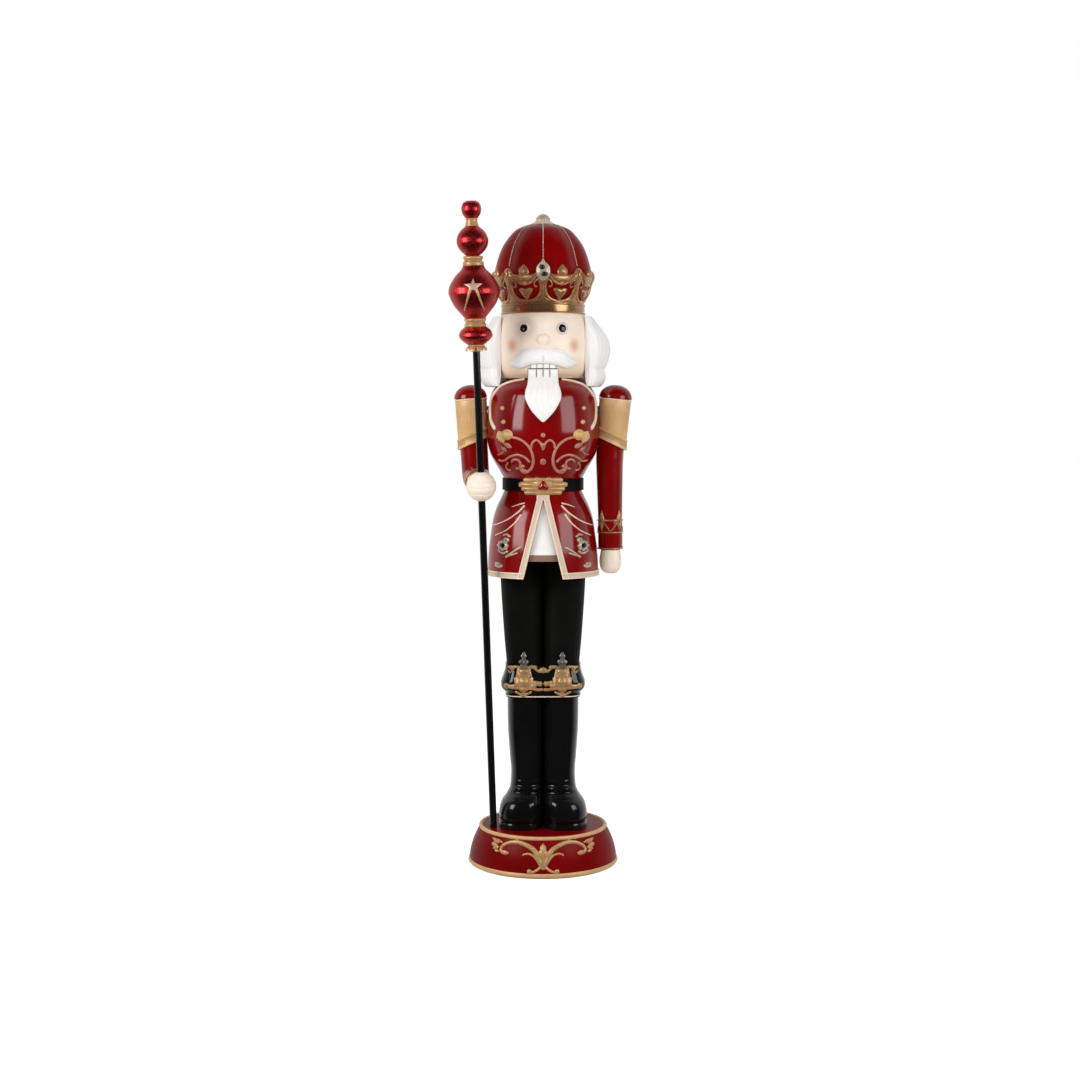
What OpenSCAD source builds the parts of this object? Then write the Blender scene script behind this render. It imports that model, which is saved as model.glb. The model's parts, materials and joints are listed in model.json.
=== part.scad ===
// Standing nutcracker king, a tall display figure with a lift-out staff and a working jaw.
// Millimetres, +Z up. The figure looks along -Y and stands on z = 0; its own right hand is at -X.
// The origin is the centre of the foam pad under the base.

/* [Base] */
// Radius of the base wall at the floor
base_r = 210; // [195:1:225]
// Radius of the flat top of the base
base_top_r = 177; // [172:1:185]
// Height of the top face of the base above the floor
base_h = 108; // [95:1:130]
// Wall of the moulded base
base_wall = 5; // [3:0.5:8]
// Thickness of the foam pad under the base
pad_t = 3; // [2:0.5:6]
// Thickness of the plywood board inside the base
base_board_t = 18; // [12:1:25]
// How far the gilt rims stand proud of the base
rim_out = 3; // [1:0.5:5]

/* [Legs] */
// Height of the hip board above the base's top face
leg_h = 772; // [740:1:800]
// Height of the boots, from the base to the top of their shafts
boot_h = 392; // [370:1:410]
// Thickness of the boot soles
sole_t = 18; // [12:1:24]
// Outer half width of the two trouser legs at the hip
thigh_x = 122; // [116:1:126]
// Outer half width of the two legs at the boot tops
knee_x = 101; // [96:1:104]
// Outer half width of the two boots at the ankle
ankle_x = 91; // [86:1:96]
// Outer half width of the two boots at the toes
toe_x = 125; // [118:1:130]
// How far the toes reach forward
toe_y = 98; // [90:1:106]
// Half depth of the legs at the boot tops
leg_y = 62; // [58:1:66]
// Gap between the two legs
leg_gap = 0.6; // [0.4:0.1:3]
// Distance of each leg post from the middle
post_x = 54; // [50:1:58]
// Radius of the steel leg posts
post_r = 17; // [14:0.5:20]
// Height of the cuff band round the boot tops
cuff_h = 92; // [80:1:105]
// How far the cuff band swells out
cuff_out = 16; // [10:0.5:20]

/* [Skirt] */
// Height of the coat's hem above the base's top face
hem_rise = 712; // [690:1:720]
// Height of the waist above the base's top face
waist_rise = 954; // [940:1:965]
// Radius of the skirt at its hem
hem_r = 156; // [150:1:162]
// Radius of the waist under the belt
waist_r = 108; // [102:1:112]
// Wall of the coat mouldings
coat_wall = 5; // [4:0.5:7]
// Half width of the skirt's front opening at the hem
opening_x = 54; // [46:1:60]
// Share of the skirt's height that its front opening takes
opening_share = 0.9; // [0.84:0.01:0.92]
// Width of the pale trim round the opening and the hem
trim_w = 17; // [12:0.5:20]
// Height of the waistcoat's lower edge above the hem
panel_rise = 66; // [56:1:76]
// Height of the belt
belt_h = 33; // [26:1:36]
// Thickness of the belt
belt_t = 3; // [2:0.5:4]

/* [Torso] */
// Height of the torso from the waist to the neck
torso_h = 310; // [300:1:320]
// Radius of the chest
chest_r = 159; // [154:1:164]
// Height of the fullest part of the chest above the waist
chest_rise = 167; // [158:1:176]
// Radius of the flat top of the torso
neck_r = 100; // [92:1:106]
// Thickness of the plywood boards in the body
board_t = 18; // [12:1:22]
// Thickness of raised scrollwork
relief_t = 3; // [2:0.5:4]

/* [Head] */
// Height of the head from the neck to the crown
head_h = 177; // [168:1:186]
// Radius of the head
head_r = 131; // [127:1:134]
// Height of the mouth above the neck
mouth_rise = 25; // [22:1:28]
// Half width of the jaw
jaw_x = 41.5; // [36:0.5:44]
// Distance of each eye from the middle
eye_x = 52; // [44:1:58]
// Height of the eyes above the neck
eye_rise = 134; // [126:1:140]
// Radius of the white of an eye
eye_r = 17; // [14:0.5:20]
// Radius of a pupil
pupil_r = 11; // [8:0.5:12]
// How far the hair stands out at the side
hair_out = 60; // [50:1:62]

/* [Jaw] */
// Height of the jaw's pivot above the waist
pivot_rise = 193; // [188:1:198]
// Distance of the jaw's pivot in front of the figure's axis
pivot_y = 30; // [24:1:36]
// Radius of the pivot pin
pin_r = 5; // [4:0.5:7]
// Half thickness of the jaw lever
lever_x = 22; // [18:0.5:24]
// Side clearance of the lever in its slots
lever_gap = 1; // [0.5:0.1:2]
// Running clearance of the lever on its pin
pin_gap = 0.06; // [0.02:0.01:0.1]

/* [Arms] */
// Distance of each shoulder from the middle
shoulder_x = 203; // [198:1:208]
// Height of the shoulders above the waist
shoulder_rise = 250; // [244:1:256]
// Radius of the sleeve at the shoulder
shoulder_r = 40; // [38:0.5:42]
// Radius of the sleeve at the elbow
elbow_r = 38; // [36:0.5:40]
// Wall of the gilt epaulette drum
drum_t = 4; // [3:0.5:5]
// Height of the red cap on the shoulder
cap_h = 45; // [38:1:50]
// Height of the left cuff's lower edge above the base's top face
wrist_rise = 785; // [775:1:800]
// Length of the left cuff
sleeve_cuff = 86; // [76:1:92]
// Radius of the cuffs
cuff_r = 34.5; // [32:0.5:36]
// Half width of the left hand
hand_x = 31; // [28:1:33]
// Radius of the fist that holds the staff
fist_r = 41; // [38:1:44]

/* [Crown] */
// Height of the gilt band at the foot of the crown
band_h = 30; // [26:1:36]
// Radius of the gilt band
band_r = 116; // [112:1:119]
// Height of the coronet's leaves above the foot of the crown
leaf_rise = 138; // [130:1:145]
// Radius of the coronet at its leaf tips
coronet_r = 146; // [142:1:150]
// Fullest radius of the red cap
crown_r = 139; // [134:1:141]
// Height of the red cap above the foot of the crown
dome_rise = 250; // [244:1:256]
// Radius of the crown's knob
knob_r = 20; // [16:0.5:22]
// Number of ribs on the crown
ribs = 8; // [6:2:12]

/* [Staff] */
// Place of the staff's foot to the figure's right
staff_x = 140; // [138:1:144]
// Place of the staff's foot in front of the figure's axis
staff_y = 50; // [44:1:56]
// Lean of the staff from upright, in degrees
staff_lean = 6.2; // [5.6:0.1:6.6]
// Direction of the staff's lean, in degrees clockwise from straight ahead
staff_turn = 16; // [13:0.5:19]
// Radius of the staff's pole
pole_r = 10; // [8:0.5:11]
// Clearance round the pole in the fist and the base
pole_gap = 0.5; // [0.3:0.1:1]
// Depth of the staff's socket in the base
socket_depth = 40; // [30:1:55]
// Length of bare pole above the base
pole_h = 1340; // [1325:1:1355]
// Radius of the onion under the staff's top
onion_r = 69; // [62:1:72]
// Radius of the ball above the onion
ball_r = 42.5; // [38:0.5:46]
// Height of the fist along the staff
fist_rise = 973; // [960:1:985]

/* [Hidden] */
$fn = 96;

red = [0.5, 0.02, 0.02];
gold = [0.82, 0.66, 0.4];
pale_gold = [0.95, 0.84, 0.7];
skin_tone = [0.98, 0.89, 0.82];
black = [0.05, 0.05, 0.05];
ply = [0.8, 0.66, 0.45];
steel = [0.6, 0.62, 0.64];

// Clearance between mouldings that seat on each other
seat = 0.3;
// Length of a cut or a view prism that reaches past the figure's front or back
front_reach = 320;

// Heights of the figure's main levels
hem_z = base_h + hem_rise;
hip_z = base_h + leg_h;
waist_z = base_h + waist_rise;
neck_z = waist_z + torso_h;
crown_z = neck_z + head_h;
mouth_z = neck_z + mouth_rise;
boot_top = base_h + boot_h;
cuff_z = boot_top - cuff_h * 0.24;
pivot = [0, -pivot_y, waist_z + pivot_rise];
knob_z = crown_z + dome_rise + 11;

// Height of a share of the red cap's rise
function dome_z(t) = crown_z + dome_rise * t;

// ---- Curves -------------------------------------------------------------------------------------

function blend4(a, b, c, d, t) =
    0.5 * (2 * b + (c - a) * t + (2 * a - 5 * b + 4 * c - d) * t * t
    + (3 * b - a - 3 * c + d) * t * t * t);

// Smooth curve through points, with n steps from each point to the next
function smooth(p, n) = concat(
    [for (i = [0 : len(p) - 2], j = [0 : n - 1])
        blend4(p[max(i - 1, 0)], p[i], p[i + 1], p[min(i + 2, len(p) - 1)], j / n)],
    [p[len(p) - 1]]);

function reversed(p) = [for (i = [len(p) - 1 : -1 : 0]) p[i]];

// Radius of an outline of [radius, height] points at height z
function radius_at(outline, z) = lookup(z, [for (p = outline) [p[1], p[0]]]);

// Power that keeps its sign, for superellipses
function signed_pow(v, e) = sign(v) * pow(abs(v), e);

// One ring of a superellipse about [cx, cy] at height z
function ring(cx, cy, a, b, z, n, e) =
    [for (i = [0 : n - 1]) let (t = 360 * i / n)
        [cx + a * signed_pow(cos(t), 2 / e), cy + b * signed_pow(sin(t), 2 / e), z]];

// ---- Building blocks ----------------------------------------------------------------------------

// Solid of revolution under an outline
module turned(outline) {
    last = len(outline) - 1;
    rotate_extrude()
        polygon(concat([[0, outline[0][1]]], outline, [[0, outline[last][1]]]));
}

// Skin between two distances outside an outline
module skin(outline, inner, outer) {
    rotate_extrude()
        polygon(concat(
            [for (p = outline) [p[0] + outer, p[1]]],
            [for (p = reversed(outline)) [p[0] + inner, p[1]]]));
}

// Closed solid through a stack of rings with equal counts, lowest ring first
module loft(rings) {
    n = len(rings[0]);
    m = len(rings);
    points = [for (r = rings, p = r) p];
    sides = [for (k = [0 : m - 2], i = [0 : n - 1]) let (j = (i + 1) % n)
        [k * n + i, (k + 1) * n + i, (k + 1) * n + j, k * n + j]];
    polyhedron(points, concat(
        [[for (i = [0 : n - 1]) i]],
        [[for (i = [n - 1 : -1 : 0]) (m - 1) * n + i]],
        sides), convexity = 6);
}

// Stands children on point a, with their z axis towards point b
module along(a, b) {
    d = b - a;
    translate(a)
        rotate([0, acos(d[2] / norm(d)), atan2(d[1], d[0])])
            children();
}

// The same children again, mirrored to the other side
module both_sides() {
    children();
    mirror([1, 0, 0])
        children();
}

// Flat stroke along a curve of [x, z] points, tapering from width w0 to w1 with round ends
module stroke(p, w0, w1, n = 4) {
    c = smooth(p, n);
    last = len(c) - 1;
    function side(i) = let (d = c[min(i + 1, last)] - c[max(i - 1, 0)])
        [-d[1], d[0]] / norm(d) * (w0 + (w1 - w0) * i / last) / 2;
    polygon(concat(
        [for (i = [0 : last]) c[i] + side(i)],
        [for (i = [last : -1 : 0]) c[i] - side(i)]));
    translate(c[0])
        circle(d = w0, $fn = 16);
    translate(c[last])
        circle(d = w1, $fn = 16);
}

// Raised work drawn in the front view, on the skin of an outline
module relief(outline, lift, t) {
    intersection() {
        skin(outline, lift, lift + t);
        rotate([90, 0, 0])
            linear_extrude(front_reach)
                offset(delta = 0.01)
                    children();
    }
}

// Places a stud square to an outline at front-view place [x, z]
module on_skin(outline, x, z, lift) {
    r = radius_at(outline, z);
    slope = atan((radius_at(outline, z - 6) - radius_at(outline, z + 6)) / 12);
    rotate([0, 0, asin(x / (r + lift))])
        translate([0, -r, z])
            rotate([90 - slope, 0, 0])
                translate([0, 0, lift])
                    children();
}

// ---- Base ---------------------------------------------------------------------------------------

base_outline = [for (i = [0 : 8]) let (t = i / 8)
    [base_r - (base_r - base_top_r) * t * t, pad_t + (base_h - pad_t) * t]];

module base_pad() {
    color([0.15, 0.15, 0.15])
        cylinder(r = base_r - 6, h = pad_t);
}

module base_board() {
    color(ply)
        difference() {
            translate([0, 0, pad_t])
                cylinder(r = base_r - base_wall - 4, h = base_board_t);
            both_sides()
                translate([post_x, 0, pad_t + base_board_t / 2])
                    cylinder(r = post_r + seat, h = base_board_t);
        }
}

socket_sides = 24;

module base_shell() {
    color(red)
        difference() {
            union() {
                difference() {
                    turned(base_outline);
                    translate([0, 0, -base_wall])
                        turned([for (p = base_outline) [p[0] - base_wall, p[1]]]);
                }
                translate([-staff_x, -staff_y, base_h - socket_depth - base_wall])
                    cylinder(r = pole_r + base_wall * 2, h = socket_depth + base_wall - 1);
            }
            staff_place()
                translate([0, 0, -socket_depth])
                    linear_extrude(socket_depth + 60)
                        polygon([for (i = [0 : socket_sides - 1]) let (a = 360 * (i + 0.5) / socket_sides)
                            (pole_r + pole_gap) / cos(180 / socket_sides) * [cos(a), sin(a)]]);
            both_sides()
                translate([post_x, 0, base_h / 2])
                    cylinder(r = post_r + seat, h = base_h);
        }
}

rim_h = 16;

module base_rims() {
    color(gold) {
        foot = [for (i = [0 : 8]) let (t = i / 8)
            [radius_at(base_outline, pad_t + rim_h * t) + seat + rim_out * sin(180 * t),
            pad_t + rim_h * t]];
        rotate_extrude()
            polygon(concat(foot, [for (p = reversed(foot))
                [radius_at(base_outline, p[1]) + seat / 2, p[1]]]));
        difference() {
            rotate_extrude()
                translate([base_top_r, base_h - 3])
                    circle(r = 6.5, $fn = 48);
            cylinder(r = base_top_r + 0.01, h = base_h + seat);
            turned([for (p = base_outline) [p[0] + seat, p[1]]]);
        }
    }
}

// Base ornament, drawn about the middle of the base's front
base_mid = base_h - 40;
base_arm = [[12, 13], [36, 22], [62, 26], [84, 24], [102, 17], [113, 8], [112, -2], [102, -5]];
base_sprig = [[14, 0], [30, 7], [44, 5], [54, -2]];
base_root = [[6, -26], [18, -40], [26, -43]];
base_tendril = [[8, -30], [26, -38], [48, -43]];

module palmette(w, h) {
    for (k = [-2 : 2])
        rotate(k * 24)
            translate([0, h * 0.5])
                scale([w * 0.13, h * (0.52 - abs(k) * 0.06)])
                    circle(r = 1, $fn = 20);
}

module base_scrolls() {
    color(gold)
        relief(base_outline, seat, relief_t) {
            translate([0, base_mid])
                both_sides() {
                    stroke(base_arm, 9, 5);
                    stroke(base_sprig, 7, 3);
                    stroke(base_root, 8, 4);
                    stroke(base_tendril, 7, 6);
                    translate([102, -1])
                        circle(r = 5.5, $fn = 20);
                    translate([132, 14])
                        circle(r = 7, $fn = 20);
                    stroke([[112, 22], [126, 24], [138, 14]], 5, 4);
                }
            translate([0, base_mid - 34])
                palmette(44, 64);
        }
}

// ---- Legs ---------------------------------------------------------------------------------------

leg_inner = leg_gap / 2;

// One ring of the left leg from its outer edge, front and back
function leg_ring(z, outer, front, back, n = 28, e = 2.4) =
    ring((outer + leg_inner) / 2, (back - front) / 2,
        (outer - leg_inner) / 2, (back + front) / 2, z, n, e);

sole_z = base_h + sole_t;

// Heights above the sole with outer edge, front and back of the left boot
boot_rings = [
    leg_ring(sole_z, toe_x - 5, toe_y - 4, 57),
    leg_ring(sole_z + 8, toe_x - 1, toe_y - 1, 59),
    leg_ring(sole_z + 22, toe_x, toe_y, 60),
    leg_ring(sole_z + 40, toe_x - 3, toe_y - 3, 59),
    leg_ring(sole_z + 55, toe_x - 9, toe_y - 9, 58),
    leg_ring(sole_z + 68, toe_x - 19, toe_y - 21, 57),
    leg_ring(sole_z + 79, ankle_x + 8, toe_y - 33, 56),
    leg_ring(sole_z + 92, ankle_x + 3, leg_y + 1, 56),
    leg_ring(sole_z + 110, ankle_x + 1, leg_y - 5, 56),
    leg_ring(sole_z + 140, ankle_x, leg_y - 6, 57),
    leg_ring(sole_z + 190, ankle_x + 4, leg_y - 4, 58),
    leg_ring(sole_z + 270, knee_x - 1, leg_y - 2, 60),
    leg_ring(boot_top, knee_x, leg_y, leg_y)];

module leg_posts() {
    color(steel)
        both_sides()
            translate([post_x, 0, 0])
                difference() {
                    union() {
                        translate([0, 0, pad_t + base_board_t / 2])
                            cylinder(r = post_r, h = waist_z - board_t - pad_t - base_board_t / 2);
                        translate([0, 0, pad_t + base_board_t])
                            cylinder(r = post_r + 18, h = 6);
                    }
                    translate([0, 0, pad_t])
                        cylinder(r = post_r - 2.5, h = waist_z);
                }
}

module boot_soles() {
    color(black)
        both_sides()
            difference() {
                translate([0, 0, base_h])
                    linear_extrude(sole_t)
                        polygon([for (p = leg_ring(0, toe_x, toe_y + 1, 61, 40, 2.6)) [p[0], p[1]]]);
                translate([post_x, 0, 0])
                    cylinder(r = post_r + seat, h = waist_z);
            }
}

module boot() {
    difference() {
        loft(boot_rings);
        translate([post_x, 0, 0])
            cylinder(r = post_r + seat, h = waist_z);
    }
}

module right_boot() {
    color(black)
        mirror([1, 0, 0])
            boot();
}

module left_boot() {
    color(black)
        boot();
}

module trousers() {
    color([0.08, 0.08, 0.09])
        both_sides()
            difference() {
                loft([
                    leg_ring(boot_top, knee_x, leg_y - 1, leg_y - 1, 24),
                    leg_ring(boot_top + 60, knee_x + 1, leg_y, leg_y, 24),
                    leg_ring(boot_top + 150, knee_x + (thigh_x - knee_x) * 0.42, leg_y + 2, leg_y + 3, 24),
                    leg_ring(boot_top + 290, thigh_x - 3, leg_y + 5, leg_y + 8, 24),
                    leg_ring(hip_z, thigh_x, leg_y + 6, leg_y + 10, 24)]);
                translate([post_x, 0, 0])
                    cylinder(r = post_r + seat, h = waist_z);
            }
}

// Cuff band round both boot tops
cuff_in = [knee_x + 1.5, leg_y + 2];
cuff_e = 4;
cuff_shape = [[0, 3], [0.14, 4], [0.22, cuff_out - 5], [0.32, cuff_out], [0.48, cuff_out],
    [0.66, cuff_out * 0.62], [0.85, cuff_out * 0.3], [1, 4]];

function cuff_rings(grow) = [for (s = cuff_shape)
    ring(0, 0, cuff_in[0] + s[1] + grow, cuff_in[1] + s[1] * 0.8 + grow,
        cuff_z + s[0] * cuff_h, 44, cuff_e)];

module cuff_bore() {
    translate([0, 0, cuff_z - 10])
        linear_extrude(cuff_h + 20)
            polygon([for (p = ring(0, 0, cuff_in[0], cuff_in[1], 0, 44, cuff_e)) [p[0], p[1]]]);
}

module boot_cuff() {
    color(black)
        difference() {
            loft(cuff_rings(0));
            cuff_bore();
        }
}

// Distance of each tower of the ornament from the middle
tower_x = 55;

// Half outline of the finial on each tower, from its foot up
cuff_finial_half = [[14, 0], [14, 4], [9, 7], [12, 14], [8, 21], [4, 24], [7, 29], [4, 35], [2, 41]];
cuff_finial_t = 5;

module cuff_finial() {
    translate([tower_x, -cuff_in[1] - 3, cuff_z + cuff_h - 3])
        rotate([90, 0, 0])
            linear_extrude(cuff_finial_t)
                both_sides()
                    polygon(concat([[-0.01, 0]], cuff_finial_half, [[-0.01, 41]]));
}

module cuff_ornament() {
    color(gold) {
        intersection() {
            difference() {
                loft(cuff_rings(3.5));
                loft(cuff_rings(seat));
            }
            rotate([90, 0, 0])
                linear_extrude(front_reach)
                    offset(delta = 0.01)
                        translate([0, cuff_z]) {
                            both_sides() {
                                translate([tower_x - 19, 18])
                                    square([38, cuff_h - 22]);
                                translate([tower_x - 11, 9])
                                    square([22, 12]);
                                translate([92, 28])
                                    square([12, 16]);
                                translate([17, cuff_h - 13])
                                    square([82, 10]);
                            }
                            translate([-17, cuff_h - 19])
                                square([34, 12]);
                            translate([-100, 26])
                                square([200, 17]);
                            translate([-112, 1])
                                square([224, 5]);
                        }
        }
        both_sides()
            cuff_finial();
    }
}

// ---- Skirt, waistcoat and belt ------------------------------------------------------------------

// Distances below the waist and radii of the coat's skirt, from the hem up
skirt_h = waist_z - hem_z;
skirt_outline = smooth([
    [hem_r, hem_z],
    [hem_r, hem_z + skirt_h * 0.1],
    [waist_r + (hem_r - waist_r) * 0.93, hem_z + skirt_h * 0.32],
    [waist_r + (hem_r - waist_r) * 0.77, hem_z + skirt_h * 0.56],
    [waist_r + (hem_r - waist_r) * 0.66, hem_z + skirt_h * 0.68],
    [waist_r + (hem_r - waist_r) * 0.46, hem_z + skirt_h * 0.8],
    [waist_r + (hem_r - waist_r) * 0.2, hem_z + skirt_h * 0.91],
    [waist_r, waist_z]], 2);
panel_gap = 6;
panel_z = hem_z + panel_rise;
apex_z = hem_z + skirt_h * opening_share;

function panel_r(z) = radius_at(skirt_outline, z) - coat_wall - panel_gap;

module hip_board() {
    color(ply)
        difference() {
            translate([0, 0, hip_z])
                cylinder(r = panel_r(hip_z + board_t) - coat_wall - seat, h = board_t);
            both_sides()
                translate([post_x, 0, 0])
                    cylinder(r = post_r + seat, h = waist_z);
        }
}

module waist_board() {
    color(ply)
        translate([0, 0, waist_z - board_t])
            cylinder(r = waist_r - coat_wall - 0.6, h = 2 * board_t);
}

panel_outline = [for (i = [0 : 8]) let (z = panel_z + (apex_z - panel_z) * i / 8)
    [panel_r(z), z]];

module waistcoat() {
    color([0.97, 0.97, 0.97])
        skin(panel_outline, -coat_wall, 0);
}

module waistcoat_hem() {
    color([0.6, 0.47, 0.4])
        rotate_extrude()
            translate([panel_r(panel_z) - coat_wall, panel_z - 18])
                square([coat_wall + 1, 18]);
}

// Front view of the skirt's opening, widened by w on each side
module opening_view(w) {
    polygon([
        [-opening_x - w, hem_z - 1],
        [opening_x + w, hem_z - 1],
        [w, apex_z],
        [-w, apex_z]]);
}

module coat_skirt() {
    color(red)
        difference() {
            skin(skirt_outline, -coat_wall, 0);
            rotate([90, 0, 0])
                linear_extrude(front_reach)
                    polygon([
                        [-opening_x, hem_z - 1],
                        [opening_x, hem_z - 1],
                        [0.5, apex_z],
                        [-0.5, apex_z]]);
        }
}

module skirt_trim() {
    color(pale_gold)
        difference() {
            union() {
                relief(skirt_outline, seat, relief_t)
                    opening_view(trim_w);
                intersection() {
                    skin(skirt_outline, seat, seat + relief_t);
                    translate([0, 0, hem_z - 1])
                        cylinder(r = hem_r * 2, h = trim_w);
                }
            }
            rotate([90, 0, 0])
                linear_extrude(front_reach)
                    polygon([
                        [-opening_x, hem_z - 2],
                        [opening_x, hem_z - 2],
                        [0.5, apex_z],
                        [-0.5, apex_z]]);
        }
}

// Cords that hang across each skirt front, below the waist
swags = [
    [[58, -34], [74, -39], [92, -47]],
    [[58, -46], [76, -64], [101, -82], [124, -93], [138, -99]],
    [[62, -66], [72, -82], [88, -98], [106, -112], [132, -126]]];
jewel_x = 111;
jewel_z = waist_z - 152;
setting_bars = [
    [[60, -152], [84, -164], [100, -184]],
    [[64, -168], [84, -174], [98, -178]],
    [[118, -206], [128, -212], [134, -206]]];

module skirt_swags() {
    color(pale_gold)
        relief(skirt_outline, seat, relief_t)
            translate([0, waist_z])
                both_sides() {
                    for (s = swags)
                        stroke(s, 6, 3);
                    stroke([[70, -36], [78, -30], [88, -32]], 5, 3);
                }
}

module jewel_settings() {
    color([0.75, 0.7, 0.66])
        relief(skirt_outline, seat, relief_t + 1)
            translate([0, waist_z])
                both_sides() {
                    for (s = setting_bars)
                        stroke(s, 8, 4);
                    translate([jewel_x, jewel_z - waist_z])
                        circle(r = 14, $fn = 24);
                    translate([jewel_x - 10, jewel_z - waist_z + 14])
                        circle(r = 8, $fn = 20);
                }
}

module skirt_jewels() {
    color([0.12, 0.12, 0.13])
        both_sides()
            on_skin(skirt_outline, jewel_x, jewel_z, relief_t + 1 + 3 * seat)
                cylinder(r1 = 9, r2 = 5, h = 5, $fn = 48);
}

belt_r = waist_r + 4;
belt_z = waist_z - 1;

module belt() {
    color(black)
        translate([0, 0, belt_z])
            rotate_extrude()
                translate([belt_r, 0])
                    square([belt_t, belt_h]);
}

buckle_outline = [[belt_r + belt_t, belt_z - 16], [belt_r + belt_t, belt_z + belt_h + 6]];
buckle_z = belt_z + belt_h / 2;

module pill(x, z, h) {
    hull()
        both_sides()
            translate([x - h / 2, z])
                circle(d = h, $fn = 24);
}

module belt_buckle() {
    color(gold)
        relief(buckle_outline, seat, 7)
            translate([0, buckle_z]) {
                pill(57, 14, 13);
                pill(69, 2, 14);
                pill(64, -9, 13);
                pill(54, -20, 14);
                square([60, 34], center = true);
            }
}

module buckle_gem() {
    color([0.6, 0.01, 0.02])
        on_skin(buckle_outline, 0, buckle_z - 2, 7 + 2 * seat)
            linear_extrude(4)
                offset(r = 2)
                    polygon([[-14, -9], [14, -9], [0, 13]]);
}

// ---- Torso --------------------------------------------------------------------------------------

top_h = torso_h - chest_rise;
torso_outline = smooth(concat(
    [for (f = [[0, 0], [0.02, 0.108], [0.078, 0.204], [0.2, 0.275], [0.353, 0.36],
        [0.569, 0.467], [0.804, 0.617], [0.96, 0.826], [1, 1]])
        [waist_r + (chest_r - waist_r) * f[0], waist_z + chest_rise * f[1]]],
    [for (f = [[0.966, 0.287], [0.86, 0.566], [0.74, 0.74], [0.52, 0.86], [0.26, 0.944], [0, 1]])
        [neck_r + (chest_r - neck_r) * f[0], waist_z + chest_rise + top_h * f[1]]]), 2);
shrink = (torso_h - coat_wall) / torso_h;

// Inner wall of the torso, moved inward by a further gap
function torso_inner(gap) = [for (p = torso_outline)
    [p[0] - coat_wall - gap, waist_z + (p[1] - waist_z) * shrink - gap]];

// Side view of the lever from the pivot: jaw arm, boss, rear arm and hanging handle
jaw_back = 62;
jaw_front = 92;
lever_top = mouth_z - 11;
handle_y = chest_r + 5;
lever_view = [
    [-jaw_back, lever_top],
    [-jaw_front, lever_top],
    [-jaw_front, pivot[2] + 95],
    [pivot[1] - 30, pivot[2] - 5],
    [pivot[1] - 16, pivot[2] - 26],
    [60, pivot[2] - 88],
    [handle_y - 14, pivot[2] - 108],
    [handle_y, pivot[2] - 118],
    [handle_y + 3, pivot[2] - 248],
    [handle_y + 12, pivot[2] - 258],
    [handle_y + 23, pivot[2] - 246],
    [handle_y + 27, pivot[2] - 100],
    [handle_y + 14, pivot[2] - 72],
    [140, pivot[2] - 64],
    [60, pivot[2] - 30],
    [pivot[1] + 28, pivot[2] + 8],
    [pivot[1] + 6, pivot[2] + 30],
    [-jaw_back, pivot[2] + 75]];

// Well for the jaw at the top of the torso and the head's mouth
module jaw_well(z0, z1) {
    translate([-jaw_x - lever_gap, -front_reach, z0])
        cube([2 * (jaw_x + lever_gap), front_reach - jaw_back + 12, z1 - z0]);
}

// Slot for the lever in the back of the torso
module rear_slot() {
    translate([-lever_x - lever_gap, 60, pivot[2] - 116])
        cube([2 * (lever_x + lever_gap), front_reach, 102]);
}

shoulder_z = waist_z + shoulder_rise;
bolt_z = shoulder_z - 22;
bolt_r = 6;

module torso() {
    color(red)
        difference() {
            turned(torso_outline);
            turned(torso_inner(0));
            translate([0, 0, waist_z - 1])
                cylinder(r = waist_r - coat_wall, h = 10);
            jaw_well(neck_z - 27, neck_z + 10);
            rear_slot();
            both_sides()
                translate([0, 0, bolt_z])
                    rotate([0, 90, 0])
                        cylinder(r = bolt_r + seat, h = front_reach);
        }
}

armhole = [[49, 306], [82, 301], [114, 290], [134, 270], [145, 250], [147, 222], [144, 192], [132, 168]];
armhole_w = 10;
main_scroll = [[86, 144], [62, 139], [42, 124], [31, 107], [27, 88], [29, 70], [36, 56], [48, 51], [56, 58]];
inner_scroll = [[40, 80], [52, 90], [70, 96], [90, 93], [106, 84], [122, 86]];
inner_curl = [[88, 80], [78, 84], [66, 78], [64, 68]];
arch = [[32, 118], [28, 132], [16, 139], [6, 130], [0, 116]];
chest_leaf = [[92, 122], [104, 112], [114, 98]];
braid = [[102, 157], [112, 161], [122, 162]];
knot = [99, 154];

module chest_trim() {
    color(pale_gold)
        relief(torso_outline, seat, relief_t + 1)
            translate([0, waist_z])
                both_sides()
                    stroke(armhole, 7, armhole_w);
}

module chest_scrolls() {
    color([0.72, 0.48, 0.38])
        relief(torso_outline, seat, relief_t)
            translate([0, waist_z]) {
                both_sides() {
                    stroke(main_scroll, 5, 8);
                    stroke(inner_scroll, 5, 4);
                    stroke(inner_curl, 5, 6);
                    stroke(arch, 5, 5);
                    stroke(chest_leaf, 9, 5, 3);
                }
                translate([0, 153])
                    circle(r = 6, $fn = 20);
                translate([0, 80])
                    circle(r = 8, $fn = 20);
            }
}

module chest_knots() {
    color(gold)
        both_sides() {
            relief(torso_outline, seat, relief_t)
                translate([0, waist_z])
                    stroke(braid, 12, 10, 3);
            on_skin(torso_outline, knot[0], waist_z + knot[1], relief_t + 2 * seat)
                intersection() {
                    sphere(r = 13);
                    cylinder(r = 14, h = 14);
                }
        }
}

module chest_buttons() {
    color(gold)
        both_sides()
            for (b = [[112, 227], [109, 189]])
                on_skin(torso_outline, b[0], waist_z + b[1], 2 * seat)
                    cylinder(r1 = 6, r2 = 4.5, h = 3.5, $fn = 32);
}

cheek_x = lever_x + lever_gap;

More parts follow.
